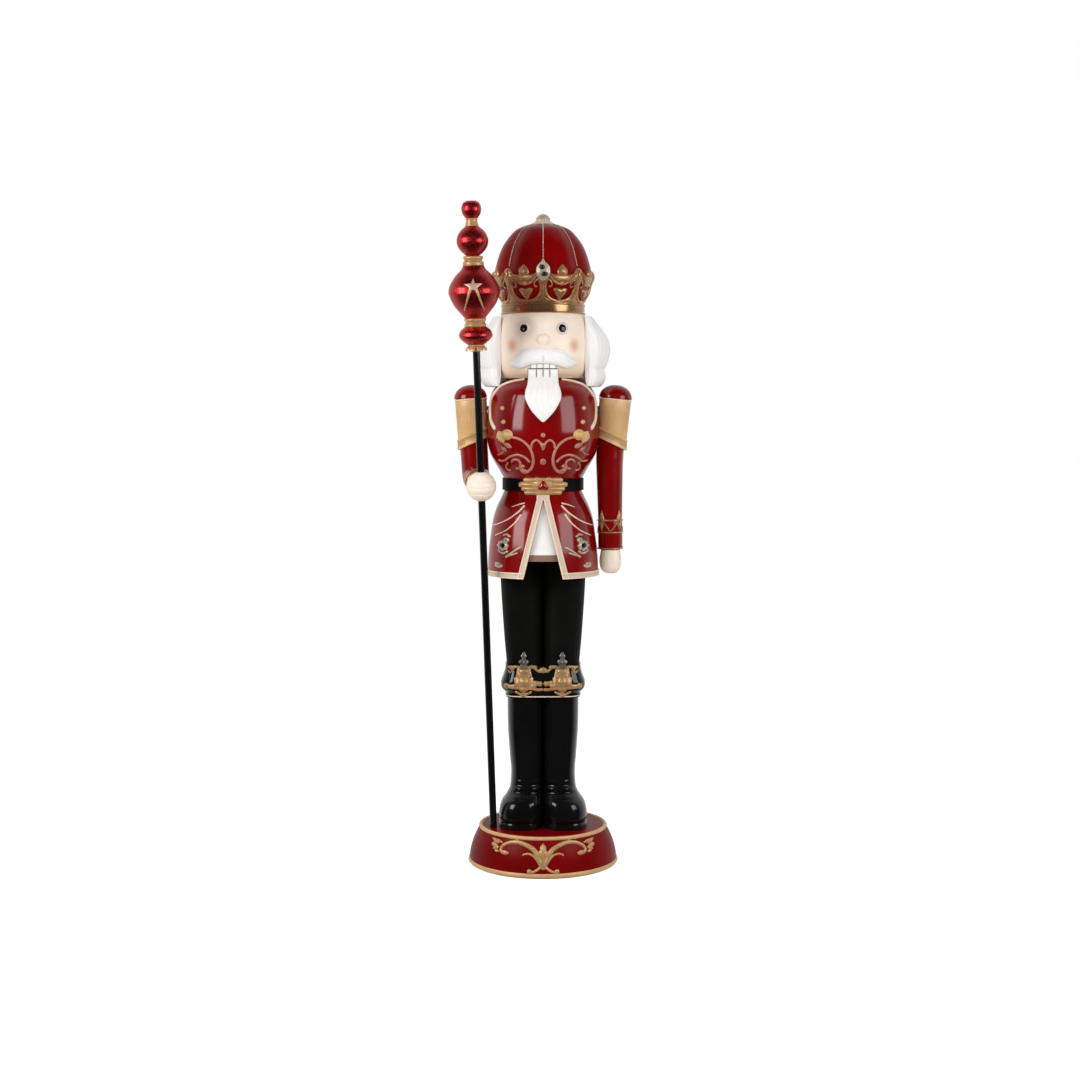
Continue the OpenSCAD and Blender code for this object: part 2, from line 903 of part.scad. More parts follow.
module jaw_housing() {
    color(ply)
        difference() {
            intersection() {
                turned(torso_inner(seat));
                both_sides()
                    translate([cheek_x, -front_reach, waist_z + board_t])
                        cube([board_t, 2 * front_reach, torso_h]);
            }
            jaw_well(neck_z - 28, neck_z + 10);
            translate(pivot)
                rotate([0, 90, 0])
                    cylinder(r = pin_r + 0.02, h = 200, center = true);
        }
}

module pivot_pin() {
    color(steel)
        translate(pivot)
            rotate([0, 90, 0])
                cylinder(r = pin_r, h = 2 * (cheek_x + board_t + 4), center = true);
}

// ---- Jaw ----------------------------------------------------------------------------------------

module jaw_lever() {
    color(ply)
        difference() {
            union() {
                translate([-lever_x, 0, 0])
                    rotate([90, 0, 90])
                        linear_extrude(2 * lever_x)
                            polygon(lever_view);
                translate(pivot)
                    rotate([0, 90, 0])
                        cylinder(r = 30, h = 2 * lever_x, center = true);
            }
            translate(pivot)
                rotate([0, 90, 0])
                    cylinder(r = pin_r + pin_gap, h = 200, center = true);
        }
}

module jaw_block() {
    color([0.97, 0.96, 0.94])
        intersection() {
            translate([-jaw_x, 0, 0])
                rotate([90, 0, 90])
                    linear_extrude(2 * jaw_x)
                        polygon([
                            [-jaw_back - 2, lever_top],
                            [-jaw_front - seat, lever_top],
                            [-jaw_front - seat, neck_z + 2],
                            [-head_r - 10, neck_z + 2],
                            [-head_r - 10, mouth_z - 2],
                            [-jaw_back - 2, mouth_z - 2]]);
            turned(jaw_face);
        }
}

// Heights from the mouth with half width, front and back of the beard
beard_shape = [
    [-146, 3, 178, 172], [-136, 14, 181, 170.5], [-118, 30, 182, 169], [-98, 42, 180, 166],
    [-80, 49, 177, 162], [-62, 48, 170, 156], [-45, 43, 158, 145], [-23, jaw_x, 142, head_r - 26],
    [-6, jaw_x, 138, head_r - 26]];

module beard() {
    color([0.98, 0.98, 0.98])
        difference() {
            loft([for (s = beard_shape)
                ring(0, -(s[2] + s[3]) / 2, s[1], (s[2] - s[3]) / 2, mouth_z + s[0], 20, 2.6)]);
            turned(jaw_face);
        }
}

// ---- Arms ---------------------------------------------------------------------------------------

shoulder = [shoulder_x, 0, shoulder_z];
elbow_z = waist_z + 88;
elbow = [elbow_r + 149, 0, elbow_z];
wrist_z = base_h + wrist_rise;
left_wrist = [hem_r + cuff_r, 0, wrist_z];

// Trims an arm to its seat on the torso
module seated_on_torso() {
    difference() {
        children();
        turned([for (p = torso_outline) [p[0] + seat, p[1]]]);
    }
}

// Upper arm from the shoulder to an elbow point, with its red cap
module upper_arm(to) {
    along(shoulder, to) {
        cylinder(r1 = shoulder_r, r2 = elbow_r, h = norm(to - shoulder));
        rotate([180, 0, 0])
            rotate_extrude()
                polygon(concat([[0, 0]],
                    [for (a = [0 : 7.5 : 90]) [(shoulder_r + drum_t - 0.5) * cos(a), cap_h * sin(a)]]));
    }
    translate(to)
        sphere(r = elbow_r + 0.5);
}

module left_sleeve() {
    len = norm(elbow - left_wrist);
    color(red)
        seated_on_torso()
            difference() {
                union() {
                    upper_arm(elbow);
                    along(left_wrist, elbow)
                        translate([0, 0, sleeve_cuff])
                            cylinder(r1 = cuff_r - 0.5, r2 = elbow_r, h = len - sleeve_cuff);
                }
                shoulder_bore();
            }
}

// The right forearm reaches forward to the fist
fist = staff_point(fist_rise);
right_elbow = [-elbow_r - 151, -4, waist_z + 34];
forearm = fist - right_elbow;
forearm_dir = forearm / norm(forearm);
right_wrist = fist - forearm_dir * (fist_r - 4);
right_cuff_len = 44;
right_cuff_start = right_wrist - forearm_dir * right_cuff_len;

module right_sleeve() {
    color(red)
        seated_on_torso()
            difference() {
                union() {
                    mirror([1, 0, 0])
                        upper_arm([-right_elbow[0], right_elbow[1], right_elbow[2]]);
                    along(right_elbow, right_cuff_start)
                        cylinder(r1 = elbow_r, r2 = cuff_r, h = norm(right_cuff_start - right_elbow));
                }
                mirror([1, 0, 0])
                    shoulder_bore();
            }
}

module shoulder_bore() {
    translate([0, 0, bolt_z])
        rotate([0, 90, 0])
            cylinder(r = bolt_r + 0.1, h = shoulder_x);
}

module shoulder_bolts() {
    color(steel)
        both_sides()
            translate([0, 0, bolt_z]) {
                x0 = radius_at(torso_outline, bolt_z + 16) - coat_wall - 3;
                translate([x0, 0, 0])
                    rotate([0, 90, 0])
                        cylinder(r = bolt_r, h = shoulder_x - x0);
                translate([x0 - 8, 0, 0])
                    rotate([0, 90, 0])
                        cylinder(r = 16, h = 8);
            }
}

drum_h = 128;
drum_slope = 20;

// Gilt drum round the upper arm, with a bead at its top and a slanting band at its foot
module epaulette(to) {
    r = shoulder_r + drum_t;
    module tube(grow, z0, z1) {
        difference() {
            translate([0, 0, z0])
                cylinder(r1 = r + grow, r2 = r - 1 + grow, h = z1 - z0);
            translate([0, 0, -5])
                cylinder(r = shoulder_r + seat, h = drum_h + 60);
        }
    }
    module slanted(z, h) {
        translate([0, 0, z])
            rotate([0, -drum_slope, 0])
                translate([-200, -200, 0])
                    cube([400, 400, h]);
    }
    seated_on_torso()
        difference() {
            along(shoulder, to) {
                difference() {
                    tube(0, 2, drum_h + 30);
                    slanted(drum_h - 36, 300);
                }
                intersection() {
                    tube(3, 60, drum_h + 30);
                    slanted(drum_h - 36, 28);
                }
                translate([0, 0, -1])
                    rotate_extrude()
                        polygon(concat(
                            [[shoulder_r + seat, 3.5]],
                            [for (a = [90 : -15 : -90]) [r - 0.2 + 3.5 * cos(a), 3.5 * sin(a)]],
                            [[r - 0.2, 1 + seat], [shoulder_r + seat, 1 + seat]]));
            }
            shoulder_bore();
        }
}

module left_epaulette() {
    color(gold)
        epaulette(elbow);
}

module right_epaulette() {
    color(gold)
        mirror([1, 0, 0])
            epaulette([-right_elbow[0], right_elbow[1], right_elbow[2]]);
}

wrist_r = cuff_r - 11;

module cuff_tube(len) {
    difference() {
        cylinder(r = cuff_r, h = len);
        translate([0, 0, -1])
            cylinder(r = wrist_r + seat, h = 32);
    }
}

module left_cuff() {
    color(red)
        along(left_wrist, elbow)
            cuff_tube(sleeve_cuff - seat);
}

module right_cuff() {
    color(red)
        along(right_wrist, right_elbow)
            cuff_tube(right_cuff_len - seat);
}

// Half-round bead round a cuff
module cuff_bead(z, r) {
    translate([0, 0, z])
        rotate_extrude()
            polygon([for (a = [-90 : 15 : 90]) [cuff_r + seat + r * cos(a), r * sin(a)]]);
}

module cuff_trims() {
    color(gold) {
        along(left_wrist, elbow)
            for (z = [3, 48, sleeve_cuff - 4])
                cuff_bead(z, 2.5);
        along(right_wrist, right_elbow)
            for (z = [4, right_cuff_len - 4])
                cuff_bead(z, 2.5);
    }
}

module left_hand() {
    color(skin_tone) {
        hand_z = wrist_z - seat - 1;
        loft([for (s = [[-67, 0.3], [-64, 0.6], [-57, 0.82], [-45, 0.96], [-28, 1], [-12, 0.93], [0, 0.86]])
            ring(left_wrist[0], -2, hand_x * s[1], (hand_x + 5) * s[1], hand_z + s[0], 24, 2.3)]);
        along([left_wrist[0], 0, wrist_z], elbow)
            translate([0, 0, -3])
                cylinder(r = wrist_r, h = 30);
    }
}

module right_hand() {
    color(skin_tone)
        difference() {
            union() {
                translate(fist)
                    sphere(r = fist_r);
                along(right_wrist, right_elbow)
                    translate([0, 0, -10])
                        cylinder(r = wrist_r, h = 38);
            }
            staff_place()
                cylinder(r = pole_r + pole_gap, h = pole_h);
        }
}

// ---- Head ---------------------------------------------------------------------------------------

head_outline = smooth([
    [head_r - 19, neck_z],
    [head_r - 7, neck_z + 13],
    [head_r - 2, neck_z + 30],
    [head_r, neck_z + 62],
    [head_r, neck_z + head_h * 0.66],
    [head_r - 2, neck_z + head_h * 0.81],
    [head_r - 7, neck_z + head_h * 0.92],
    [band_r, crown_z]], 2);

// The moving jaw stands this far proud of the head, so it slides past it
jaw_proud = 0.2;
jaw_face = [for (p = head_outline) [p[0] + jaw_proud, p[1]]];

module head() {
    color(skin_tone)
        difference() {
            union() {
                turned(head_outline);
                translate([0, -head_r + 4, neck_z + 92])
                    rotate([-8, 0, 0])
                        rotate([90, 0, 0])
                            rotate_extrude()
                                polygon([[0, -10], [17, -10], [16, 6], [13, 12], [8, 16.5], [0, 18]]);
            }
            jaw_well(neck_z - 1, mouth_z);
            translate([-36, -head_r - 5, mouth_z - 1])
                cube([72, 21, 14]);
            both_sides()
                on_skin(head_outline, eye_x, neck_z + eye_rise, -3)
                    cylinder(r = eye_r + 0.2, h = 12);
        }
}

module upper_teeth() {
    color([0.98, 0.97, 0.93])
        intersection() {
            for (k = [-3 : 2])
                translate([k * 12 + 0.4, -head_r, mouth_z + seat])
                    cube([11.2, 15, 12]);
            turned(head_outline);
        }
}

module eyes() {
    color([0.98, 0.98, 0.98])
        both_sides()
            on_skin(head_outline, eye_x, neck_z + eye_rise, -2.8)
                cylinder(r1 = eye_r, r2 = eye_r - 2, h = 5);
}

module pupils() {
    color([0.02, 0.02, 0.02])
        both_sides()
            on_skin(head_outline, eye_x, neck_z + eye_rise, 2.5)
                cylinder(r1 = pupil_r, r2 = pupil_r - 3, h = 2.5);
}

// Places along the moustache: x, height above the mouth, half height, half thickness
whisker = [[1, 26, 21, 8], [20, 28, 24, 11], [40, 24, 20, 11], [58, 17, 13, 9], [72, 13, 8, 7], [84, 15, 2.5, 3]];

module moustache() {
    color([0.99, 0.99, 0.99])
        both_sides()
            difference() {
                loft([for (w = whisker)
                    [for (i = [0 : 13]) let (a = -360 * i / 14)
                        [w[0], -sqrt(pow(head_r + 3, 2) - w[0] * w[0]) + w[3] * cos(a),
                        mouth_z + w[1] + w[2] * sin(a)]]]);
                turned([for (p = head_outline) [p[0] + seat, p[1]]]);
            }
}

// Hair round the back and sides of the head, from one temple to the other
hair_span = 236;
hair_steps = 44;
hair_foot = neck_z - 22;
hair_top = crown_z - 4;

// Section of the hair at a share t of its way round, as [radius, height] points
function hair_section(t) =
    let (side = pow(sin(180 * t), 0.35),
        wave = 1 + 0.05 * cos(360 * 7 * t),
        out = hair_out * side * wave,
        inner = head_r + 1)
    [[inner, hair_foot + 26],
    [inner + out * 0.25, hair_foot + 4],
    [inner + out * 0.62, hair_foot],
    [inner + out * 0.86, hair_foot + 26],
    [inner + out * 0.98, hair_foot + 66],
    [inner + out, hair_foot + 100],
    [inner + out * 0.84, hair_foot + 140],
    [inner + out * 0.5, hair_foot + 172],
    [inner + out * 0.16, hair_top],
    [inner, hair_top - 2]];

module hair() {
    color([0.99, 0.99, 0.99])
        difference() {
            loft([for (k = [0 : hair_steps]) let (t = k / hair_steps, a = 90 - hair_span / 2 + hair_span * t)
                [for (p = reversed(hair_section(0.012 + 0.976 * t))) [p[0] * cos(a), p[0] * sin(a), p[1]]]]);
            turned([for (p = torso_outline) [p[0] + seat, p[1]]]);
        }
}

// ---- Crown --------------------------------------------------------------------------------------

module crown_band() {
    color(gold)
        rotate_extrude()
            polygon([
                [band_r - 8, crown_z + seat],
                [band_r + 1, crown_z + seat],
                [band_r + 3, crown_z + 4],
                [band_r + 3, crown_z + 9],
                [band_r, crown_z + 12],
                [band_r, crown_z + band_h - 10],
                [band_r + 2, crown_z + band_h - 7],
                [band_r + 2, crown_z + band_h - 2],
                [band_r - 1, crown_z + band_h],
                [band_r - 8, crown_z + band_h]]);
}

coronet_t = 5;
leaf_h = leaf_rise - band_h;
coronet_outline = smooth([
    [band_r - 2, crown_z + band_h + seat],
    [band_r + 7, crown_z + band_h + leaf_h * 0.2],
    [crown_r - 7, crown_z + band_h + leaf_h * 0.42],
    [crown_r + 0.6, crown_z + band_h + leaf_h * 0.66],
    [coronet_r - coronet_t - 1, crown_z + band_h + leaf_h * 0.84],
    [coronet_r - coronet_t + 1, crown_z + leaf_rise + 6]], 2);

// Radius from which the coronet's leaves are cut, clear of the next leaf's cut
leaf_cut = band_r - 10;

// Front view of a pointed leaf of the coronet, from its stem up
module leaf_view() {
    stroke([[0, 0], [0, leaf_h * 0.4], [0, leaf_h * 0.7]], 13, 16, 3);
    polygon([
        [-8, leaf_h * 0.45],
        [8, leaf_h * 0.45],
        [17, leaf_h * 0.72],
        [13, leaf_h * 0.9],
        [0, leaf_h * 1.04],
        [-13, leaf_h * 0.9],
        [-17, leaf_h * 0.72]]);
}

// Front view of the crescent and its knob between two pointed leaves
crescent = [[-25, 0.6], [-13, 0.52], [0, 0.49], [13, 0.52], [25, 0.6]];

module crescent_view() {
    stroke([[0, 0], [0, leaf_h * 0.3], [0, leaf_h * 0.7]], 12, 9, 3);
    stroke([for (p = crescent) [p[0], p[1] * leaf_h]], 13, 13, 3);
    translate([0, leaf_h * 0.76])
        circle(r = 10, $fn = 24);
    translate([0, leaf_h * 0.14])
        circle(r = 14, $fn = 24);
}

module crown_leaves() {
    color(gold)
        intersection() {
            skin(coronet_outline, 0, coronet_t);
            union() {
                for (k = [0 : ribs - 1])
                    rotate([0, 0, k * 360 / ribs]) {
                        leaf_cutter()
                            leaf_view();
                        rotate([0, 0, 180 / ribs])
                            leaf_cutter()
                                crescent_view();
                    }
                translate([0, 0, crown_z])
                    cylinder(r = coronet_r * 2, h = band_h + leaf_h * 0.13);
            }
        }
}

// Stands a front view on the crown's band, as a prism that reaches past the leaves
module leaf_cutter() {
    translate([0, 0, crown_z + band_h])
        rotate([90, 0, 0])
            translate([0, 0, leaf_cut])
                linear_extrude(coronet_r)
                    offset(delta = 0.01)
                        children();
}

// Red cap with a puffed lobe between each pair of ribs
cap_outline = smooth([
    [band_r - 9, crown_z + seat],
    [band_r - 9, crown_z + band_h],
    [band_r + 3, crown_z + band_h + leaf_h * 0.2],
    [crown_r - 9, crown_z + band_h + leaf_h * 0.42],
    [crown_r - 1, crown_z + band_h + leaf_h * 0.66],
    [crown_r, crown_z + band_h + leaf_h * 0.83],
    [crown_r * 0.955, dome_z(0.58)],
    [crown_r * 0.91, dome_z(0.66)],
    [crown_r * 0.84, dome_z(0.75)],
    [crown_r * 0.738, dome_z(0.836)],
    [crown_r * 0.596, dome_z(0.924)],
    [crown_r * 0.464, dome_z(0.968)],
    [crown_r * 0.3, dome_z(1)]], 1);

lobe_steps = 6;
lobe_depth = 0.035;

// Share of the full radius at angle a, least at the ribs
function lobe(a) = 1 - lobe_depth * pow(abs(cos(a * ribs / 2)), 4);

module crown_cap() {
    color(red)
        loft([for (p = cap_outline)
            [for (i = [0 : ribs * lobe_steps - 1]) let (a = 360 * i / (ribs * lobe_steps))
                [p[0] * lobe(a) * sin(a), -p[0] * lobe(a) * cos(a), p[1]]]]);
}

module crown_ribs() {
    color([0.78, 0.75, 0.7])
        for (k = [0 : ribs - 1])
            rotate([0, 0, k * 360 / ribs])
                intersection() {
                    skin([for (p = cap_outline) if (p[1] > crown_z + leaf_rise)
                        [p[0] * (1 - lobe_depth), p[1]]], seat, 3.5);
                    translate([-2.2, -front_reach, crown_z])
                        cube([4.4, front_reach - 20, dome_rise]);
                }
}

module crown_finial() {
    color([0.78, 0.75, 0.7]) {
        top = crown_z + dome_rise + seat;
        rotate_extrude()
            polygon(concat(
                [[0, top], [34, top], [25, top + 3], [knob_r - 2, top + 5]],
                [for (a = [-12 : 6 : 90]) [knob_r * cos(a), knob_z + knob_r * sin(a)]]));
    }
}

medallion_z = crown_z + leaf_rise - 22;

module crown_medallion() {
    color([0.85, 0.8, 0.72])
        difference() {
            on_skin(coronet_outline, 0, medallion_z, coronet_t - 1) {
                cylinder(r1 = 20, r2 = 17, h = 7);
                for (z = [-8, 8])
                    translate([0, z, 7])
                        cylinder(r1 = 5, r2 = 3, h = 3, $fn = 32);
            }
            skin(coronet_outline, -30, coronet_t + seat);
        }
}

// ---- Staff --------------------------------------------------------------------------------------

// Stands children on the staff's foot, with their z axis up the staff
module staff_place() {
    translate([-staff_x, -staff_y, base_h])
        rotate([0, staff_lean, -90 - staff_turn])
            children();
}

// Point at a distance up the staff
function staff_point(s) = [
    -staff_x - s * sin(staff_lean) * sin(staff_turn),
    -staff_y - s * sin(staff_lean) * cos(staff_turn),
    base_h + s * cos(staff_lean)];

rod_r = 6;
rod_gap = 0.2;
leaf_ring_h = 20;
oblate_h = 47;
neck_ring_h = 22;
onion_h = 141;
ball_h = 79;
tip_h = 46;

// Heights of the staff's beads, from the top of the bare pole
oblate_s = pole_h + leaf_ring_h;
onion_s = oblate_s + oblate_h + neck_ring_h;
ball_s = onion_s + onion_h + neck_ring_h + 2;
tip_s = ball_s + ball_h + leaf_ring_h;
staff_top = tip_s + tip_h;

module staff_pole() {
    color(black)
        staff_place() {
            translate([0, 0, 1 - socket_depth])
                cylinder(r = pole_r, h = pole_h + socket_depth - 1);
            translate([0, 0, pole_h - 1])
                cylinder(r = rod_r, h = tip_s + tip_h / 2 - pole_h);
        }
}

// Round bead on the rod, from a share-of-radius outline
module bead(s, h, r, shape) {
    translate([0, 0, s])
        rotate_extrude()
            polygon(concat(
                [[rod_r + rod_gap, 0.1]],
                [for (p = smooth(shape, 3)) [r * p[0], 0.1 + (h - 0.2) * p[1]]],
                [[rod_r + rod_gap, h - 0.1]]));
}

round_bead = [for (i = [0 : 8]) let (a = -68 + 136 * i / 8) [cos(a), 0.5 + 0.5 * sin(a) / sin(68)]];
onion_shape = [[0.4, 0], [0.52, 0.07], [0.8, 0.24], [0.97, 0.42], [1, 0.52],
    [0.93, 0.64], [0.72, 0.8], [0.48, 0.92], [0.4, 1]];
oblate_shape = [[0.55, 0], [0.82, 0.2], [0.98, 0.4], [1, 0.55], [0.9, 0.78], [0.62, 1]];
tip_shape = [[0.6, 0], [0.9, 0.25], [1, 0.55], [0.85, 0.85], [0.5, 1]];

module staff_balls() {
    color([0.55, 0.02, 0.03])
        staff_place() {
            bead(oblate_s, oblate_h, 45, oblate_shape);
            bead(onion_s, onion_h, onion_r, onion_shape);
            bead(ball_s, ball_h, ball_r, round_bead);
            bead(tip_s, tip_h, 26.5, tip_shape);
        }
}

module staff_rings() {
    color(gold)
        staff_place() {
            bead(pole_h, leaf_ring_h, 29, [[0.62, 0], [0.95, 0.25], [0.85, 0.55], [1, 0.85], [0.9, 1]]);
            bead(oblate_s + oblate_h, neck_ring_h, 30, [[0.95, 0], [1, 0.2], [0.88, 0.5], [1, 0.8], [0.95, 1]]);
            bead(onion_s + onion_h, neck_ring_h + 2, 28, [[1, 0], [1, 0.3], [0.85, 0.5], [0.95, 0.8], [0.9, 1]]);
            bead(ball_s + ball_h, leaf_ring_h, 19, [[0.95, 0], [0.85, 0.4], [0.8, 0.7], [0.85, 1]]);
        }
}

module star(r_out, r_in) {
    polygon([for (i = [0 : 9]) let (a = 90 + 36 * i, r = i % 2 == 0 ? r_out : r_in)
        [r * cos(a), r * sin(a)]]);
}

module staff_star() {
    color(pale_gold)
        staff_place()
            rotate([0, 0, staff_turn])
                rotate([0, 0, 90])
                    intersection() {
                        translate([0, 0, onion_s])
                            rotate_extrude()
                                polygon(concat(
                                    [for (p = smooth(onion_shape, 3)) [onion_r * p[0] + seat + 3, onion_h * p[1]]],
                                    [for (p = reversed(smooth(onion_shape, 3))) [onion_r * p[0] + seat, onion_h * p[1]]]));
                        rotate([90, 0, 0])
                            linear_extrude(front_reach)
                                translate([0, onion_s + onion_h * 0.6])
                                    star(34, 13);
                    }
}

base_pad();
base_board();
base_shell();
base_rims();
base_scrolls();
leg_posts();
boot_soles();
right_boot();
left_boot();
boot_cuff();
cuff_ornament();
trousers();
hip_board();
waistcoat();
waistcoat_hem();
coat_skirt();
skirt_trim();
skirt_swags();
jewel_settings();
skirt_jewels();
waist_board();
belt();
belt_buckle();
buckle_gem();
torso();
chest_trim();
chest_scrolls();
chest_knots();
chest_buttons();
jaw_housing();
pivot_pin();
right_sleeve();
left_sleeve();
right_epaulette();
left_epaulette();
right_cuff();
left_cuff();
cuff_trims();
right_hand();
left_hand();
shoulder_bolts();
head();
eyes();
pupils();
moustache();
upper_teeth();
hair();
crown_band();
crown_leaves();
crown_cap();
crown_ribs();
crown_finial();
crown_medallion();
jaw_lever();
jaw_block();
beard();
staff_pole();
staff_balls();
staff_rings();
staff_star();
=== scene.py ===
import json
import math

import bmesh
import bpy
import numpy as np
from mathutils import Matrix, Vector

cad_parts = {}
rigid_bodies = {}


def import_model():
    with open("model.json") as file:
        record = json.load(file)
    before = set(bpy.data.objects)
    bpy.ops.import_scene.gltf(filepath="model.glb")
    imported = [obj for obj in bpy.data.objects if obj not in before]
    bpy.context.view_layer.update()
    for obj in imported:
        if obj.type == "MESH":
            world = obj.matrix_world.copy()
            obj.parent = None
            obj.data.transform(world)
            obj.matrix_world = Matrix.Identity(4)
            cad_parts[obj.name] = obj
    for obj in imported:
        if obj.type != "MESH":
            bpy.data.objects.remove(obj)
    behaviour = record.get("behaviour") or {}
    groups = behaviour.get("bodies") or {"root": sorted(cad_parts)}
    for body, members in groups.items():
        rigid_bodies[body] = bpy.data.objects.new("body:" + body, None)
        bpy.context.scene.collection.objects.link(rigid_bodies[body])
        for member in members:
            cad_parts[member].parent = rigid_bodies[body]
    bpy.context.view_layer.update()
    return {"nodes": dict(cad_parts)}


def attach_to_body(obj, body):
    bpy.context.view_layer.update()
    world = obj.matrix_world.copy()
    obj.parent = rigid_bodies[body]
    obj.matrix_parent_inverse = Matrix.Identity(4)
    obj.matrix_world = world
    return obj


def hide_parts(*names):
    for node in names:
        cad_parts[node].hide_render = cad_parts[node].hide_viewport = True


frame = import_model()

MM = 0.001
CHEST_HEIGHT = 1.15
SENSOR_MM, LENS_MM = 36, 56.67
CAMERA_PLACE, CAMERA_DIP = (-0.0085, -4.794, 1.2426), 3.87
ROOM_TINT, ROOM_LEVEL = (1, 0.99, 0.975, 1), 0.37
FLOOR_REACH, FLOOR_GREY, FLOOR_GLOW = 14.0, 0.88, 0.71


def add_node(tree, kind, settings=None, sockets=None):
    """Adds a node; each socket named takes a value or another node's output."""
    made = tree.nodes.new(kind)
    for key, value in (settings or {}).items():
        setattr(made, key, value)
    for key, value in (sockets or {}).items():
        if isinstance(value, bpy.types.NodeSocket):
            tree.links.new(value, made.inputs[key])
        else:
            made.inputs[key].default_value = value
    return made


# ---- Camera, lamps and floor --------------------------------------------------------------------

def place_camera():
    """Camera about head-high in front of the figure, tipped a little down."""
    lens = bpy.data.cameras.new("view")
    lens.sensor_width = SENSOR_MM
    lens.lens = LENS_MM
    camera = bpy.data.objects.new("view", lens)
    camera.location = CAMERA_PLACE
    camera.rotation_euler = (math.radians(90 - CAMERA_DIP), 0, 0)
    bpy.context.scene.collection.objects.link(camera)
    bpy.context.scene.camera = camera


def softbox(name, azimuth, distance, height, size, watts):
    """Soft lamp at an azimuth from straight ahead of the figure, aimed at its chest."""
    lamp = bpy.data.lights.new(name, "AREA")
    lamp.shape = "RECTANGLE"
    lamp.size, lamp.size_y = size
    lamp.energy = watts
    box = bpy.data.objects.new(name, lamp)
    turn = math.radians(azimuth)
    box.location = (distance * math.sin(turn), -distance * math.cos(turn), height)
    aim = Vector((0, 0, CHEST_HEIGHT)) - Vector(box.location)
    box.rotation_euler = aim.to_track_quat("-Z", "Y").to_euler()
    bpy.context.scene.collection.objects.link(box)
    return box


def light_studio():
    """Three soft lamps, and a room that only straight and mirrored rays see as white."""
    softbox("left softbox", -54, 2.6, 1.9, (1.25, 1.35), 36)
    softbox("right softbox", 52, 2.6, 1.75, (1.4, 1.3), 23)
    fill = softbox("front fill", 0, 3.2, 2.6, (2.4, 1.2), 23)
    fill.visible_glossy = False
    world = bpy.data.worlds.new("studio")
    world.use_nodes = True
    tree = world.node_tree
    tree.nodes.clear()
    ray = add_node(tree, "ShaderNodeLightPath").outputs
    room = add_node(tree, "ShaderNodeBackground", None, {0: ROOM_TINT, 1: ROOM_LEVEL})
    # Mirrors see the white backdrop behind the figure and the dim room in front of it
    where = add_node(tree, "ShaderNodeTexCoord")
    split = add_node(tree, "ShaderNodeSeparateXYZ", None, {0: where.outputs["Generated"]})
    back = add_node(tree, "ShaderNodeMapRange", None, {
        "Value": split.outputs["Y"], "From Min": -0.25, "From Max": 0.35, "To Min": 0.025,
        "To Max": 0.9})
    mirrored = add_node(tree, "ShaderNodeBackground", None, {1: back.outputs[0]})
    glossy = add_node(tree, "ShaderNodeMixShader", None, {
        0: ray["Is Glossy Ray"], 1: room.outputs[0], 2: mirrored.outputs[0]})
    straight = add_node(tree, "ShaderNodeMath", {"operation": "MAXIMUM"}, {
        0: ray["Is Camera Ray"], 1: ray["Is Transmission Ray"]})
    white = add_node(tree, "ShaderNodeBackground", None, {0: (1, 1, 1, 1)})
    mix = add_node(tree, "ShaderNodeMixShader", None, {
        0: straight.outputs[0], 1: glossy.outputs[0], 2: white.outputs[0]})
    add_node(tree, "ShaderNodeOutputWorld", None, {0: mix.outputs[0]})
    bpy.context.scene.world = world


def lay_floor():
    """Pale floor that looks white but keeps the figure's shadow."""
    mesh = bpy.data.meshes.new("floor")
    far = FLOOR_REACH
    mesh.from_pydata([(-far, -far, 0), (far, -far, 0), (far, far, 0), (-far, far, 0)],
                     [], [(0, 1, 2, 3)])
    floor = bpy.data.objects.new("floor", mesh)
    bpy.context.scene.collection.objects.link(floor)
    paint = bpy.data.materials.new("pale floor")
    paint.use_nodes = True
    tree = paint.node_tree
    body = tree.nodes["Principled BSDF"]
    for key, value in (("Base Color", (FLOOR_GREY, FLOOR_GREY, FLOOR_GREY, 1)),
                       ("Roughness", 0.9), ("Specular IOR Level", 0.0)):
        body.inputs[key].default_value = value
    ray = add_node(tree, "ShaderNodeLightPath")
    share = add_node(tree, "ShaderNodeMath", {"operation": "MULTIPLY"}, {
        0: ray.outputs["Is Camera Ray"], 1: FLOOR_GLOW})
    glow = add_node(tree, "ShaderNodeEmission", None, {1: share.outputs[0]})
    both = add_node(tree, "ShaderNodeAddShader", None, {0: body.outputs[0], 1: glow.outputs[0]})
    tree.links.new(both.outputs[0], tree.nodes["Material Output"].inputs[0])
    mesh.materials.append(paint)
    # The room in front of the figure is dark in its gloss, as if the floor stopped there
    floor.visible_glossy = False


# ---- Finishes -----------------------------------------------------------------------------------

def srgb(r, g, b):
    """Linear colour of a paint chip given as 0 to 255."""
    chip = [v / 255 for v in (r, g, b)]
    return tuple(v / 12.92 if v <= 0.04045 else ((v + 0.055) / 1.055) ** 2.4 for v in chip) + (1.0,)


class Signal:
    """A socket of a finish, with plain arithmetic."""

    def __init__(self, finish, socket):
        self.finish, self.socket = finish, socket

    def maths(self, operation, a, b):
        return self.finish.node("ShaderNodeMath", {"operation": operation}, {0: a, 1: b})

    def __add__(self, other):
        return self.maths("ADD", self, other)

    def __sub__(self, other):
        return self.maths("SUBTRACT", self, other)

    def __rsub__(self, other):
        return self.maths("SUBTRACT", other, self)

    def __mul__(self, other):
        return self.maths("MULTIPLY", self, other)


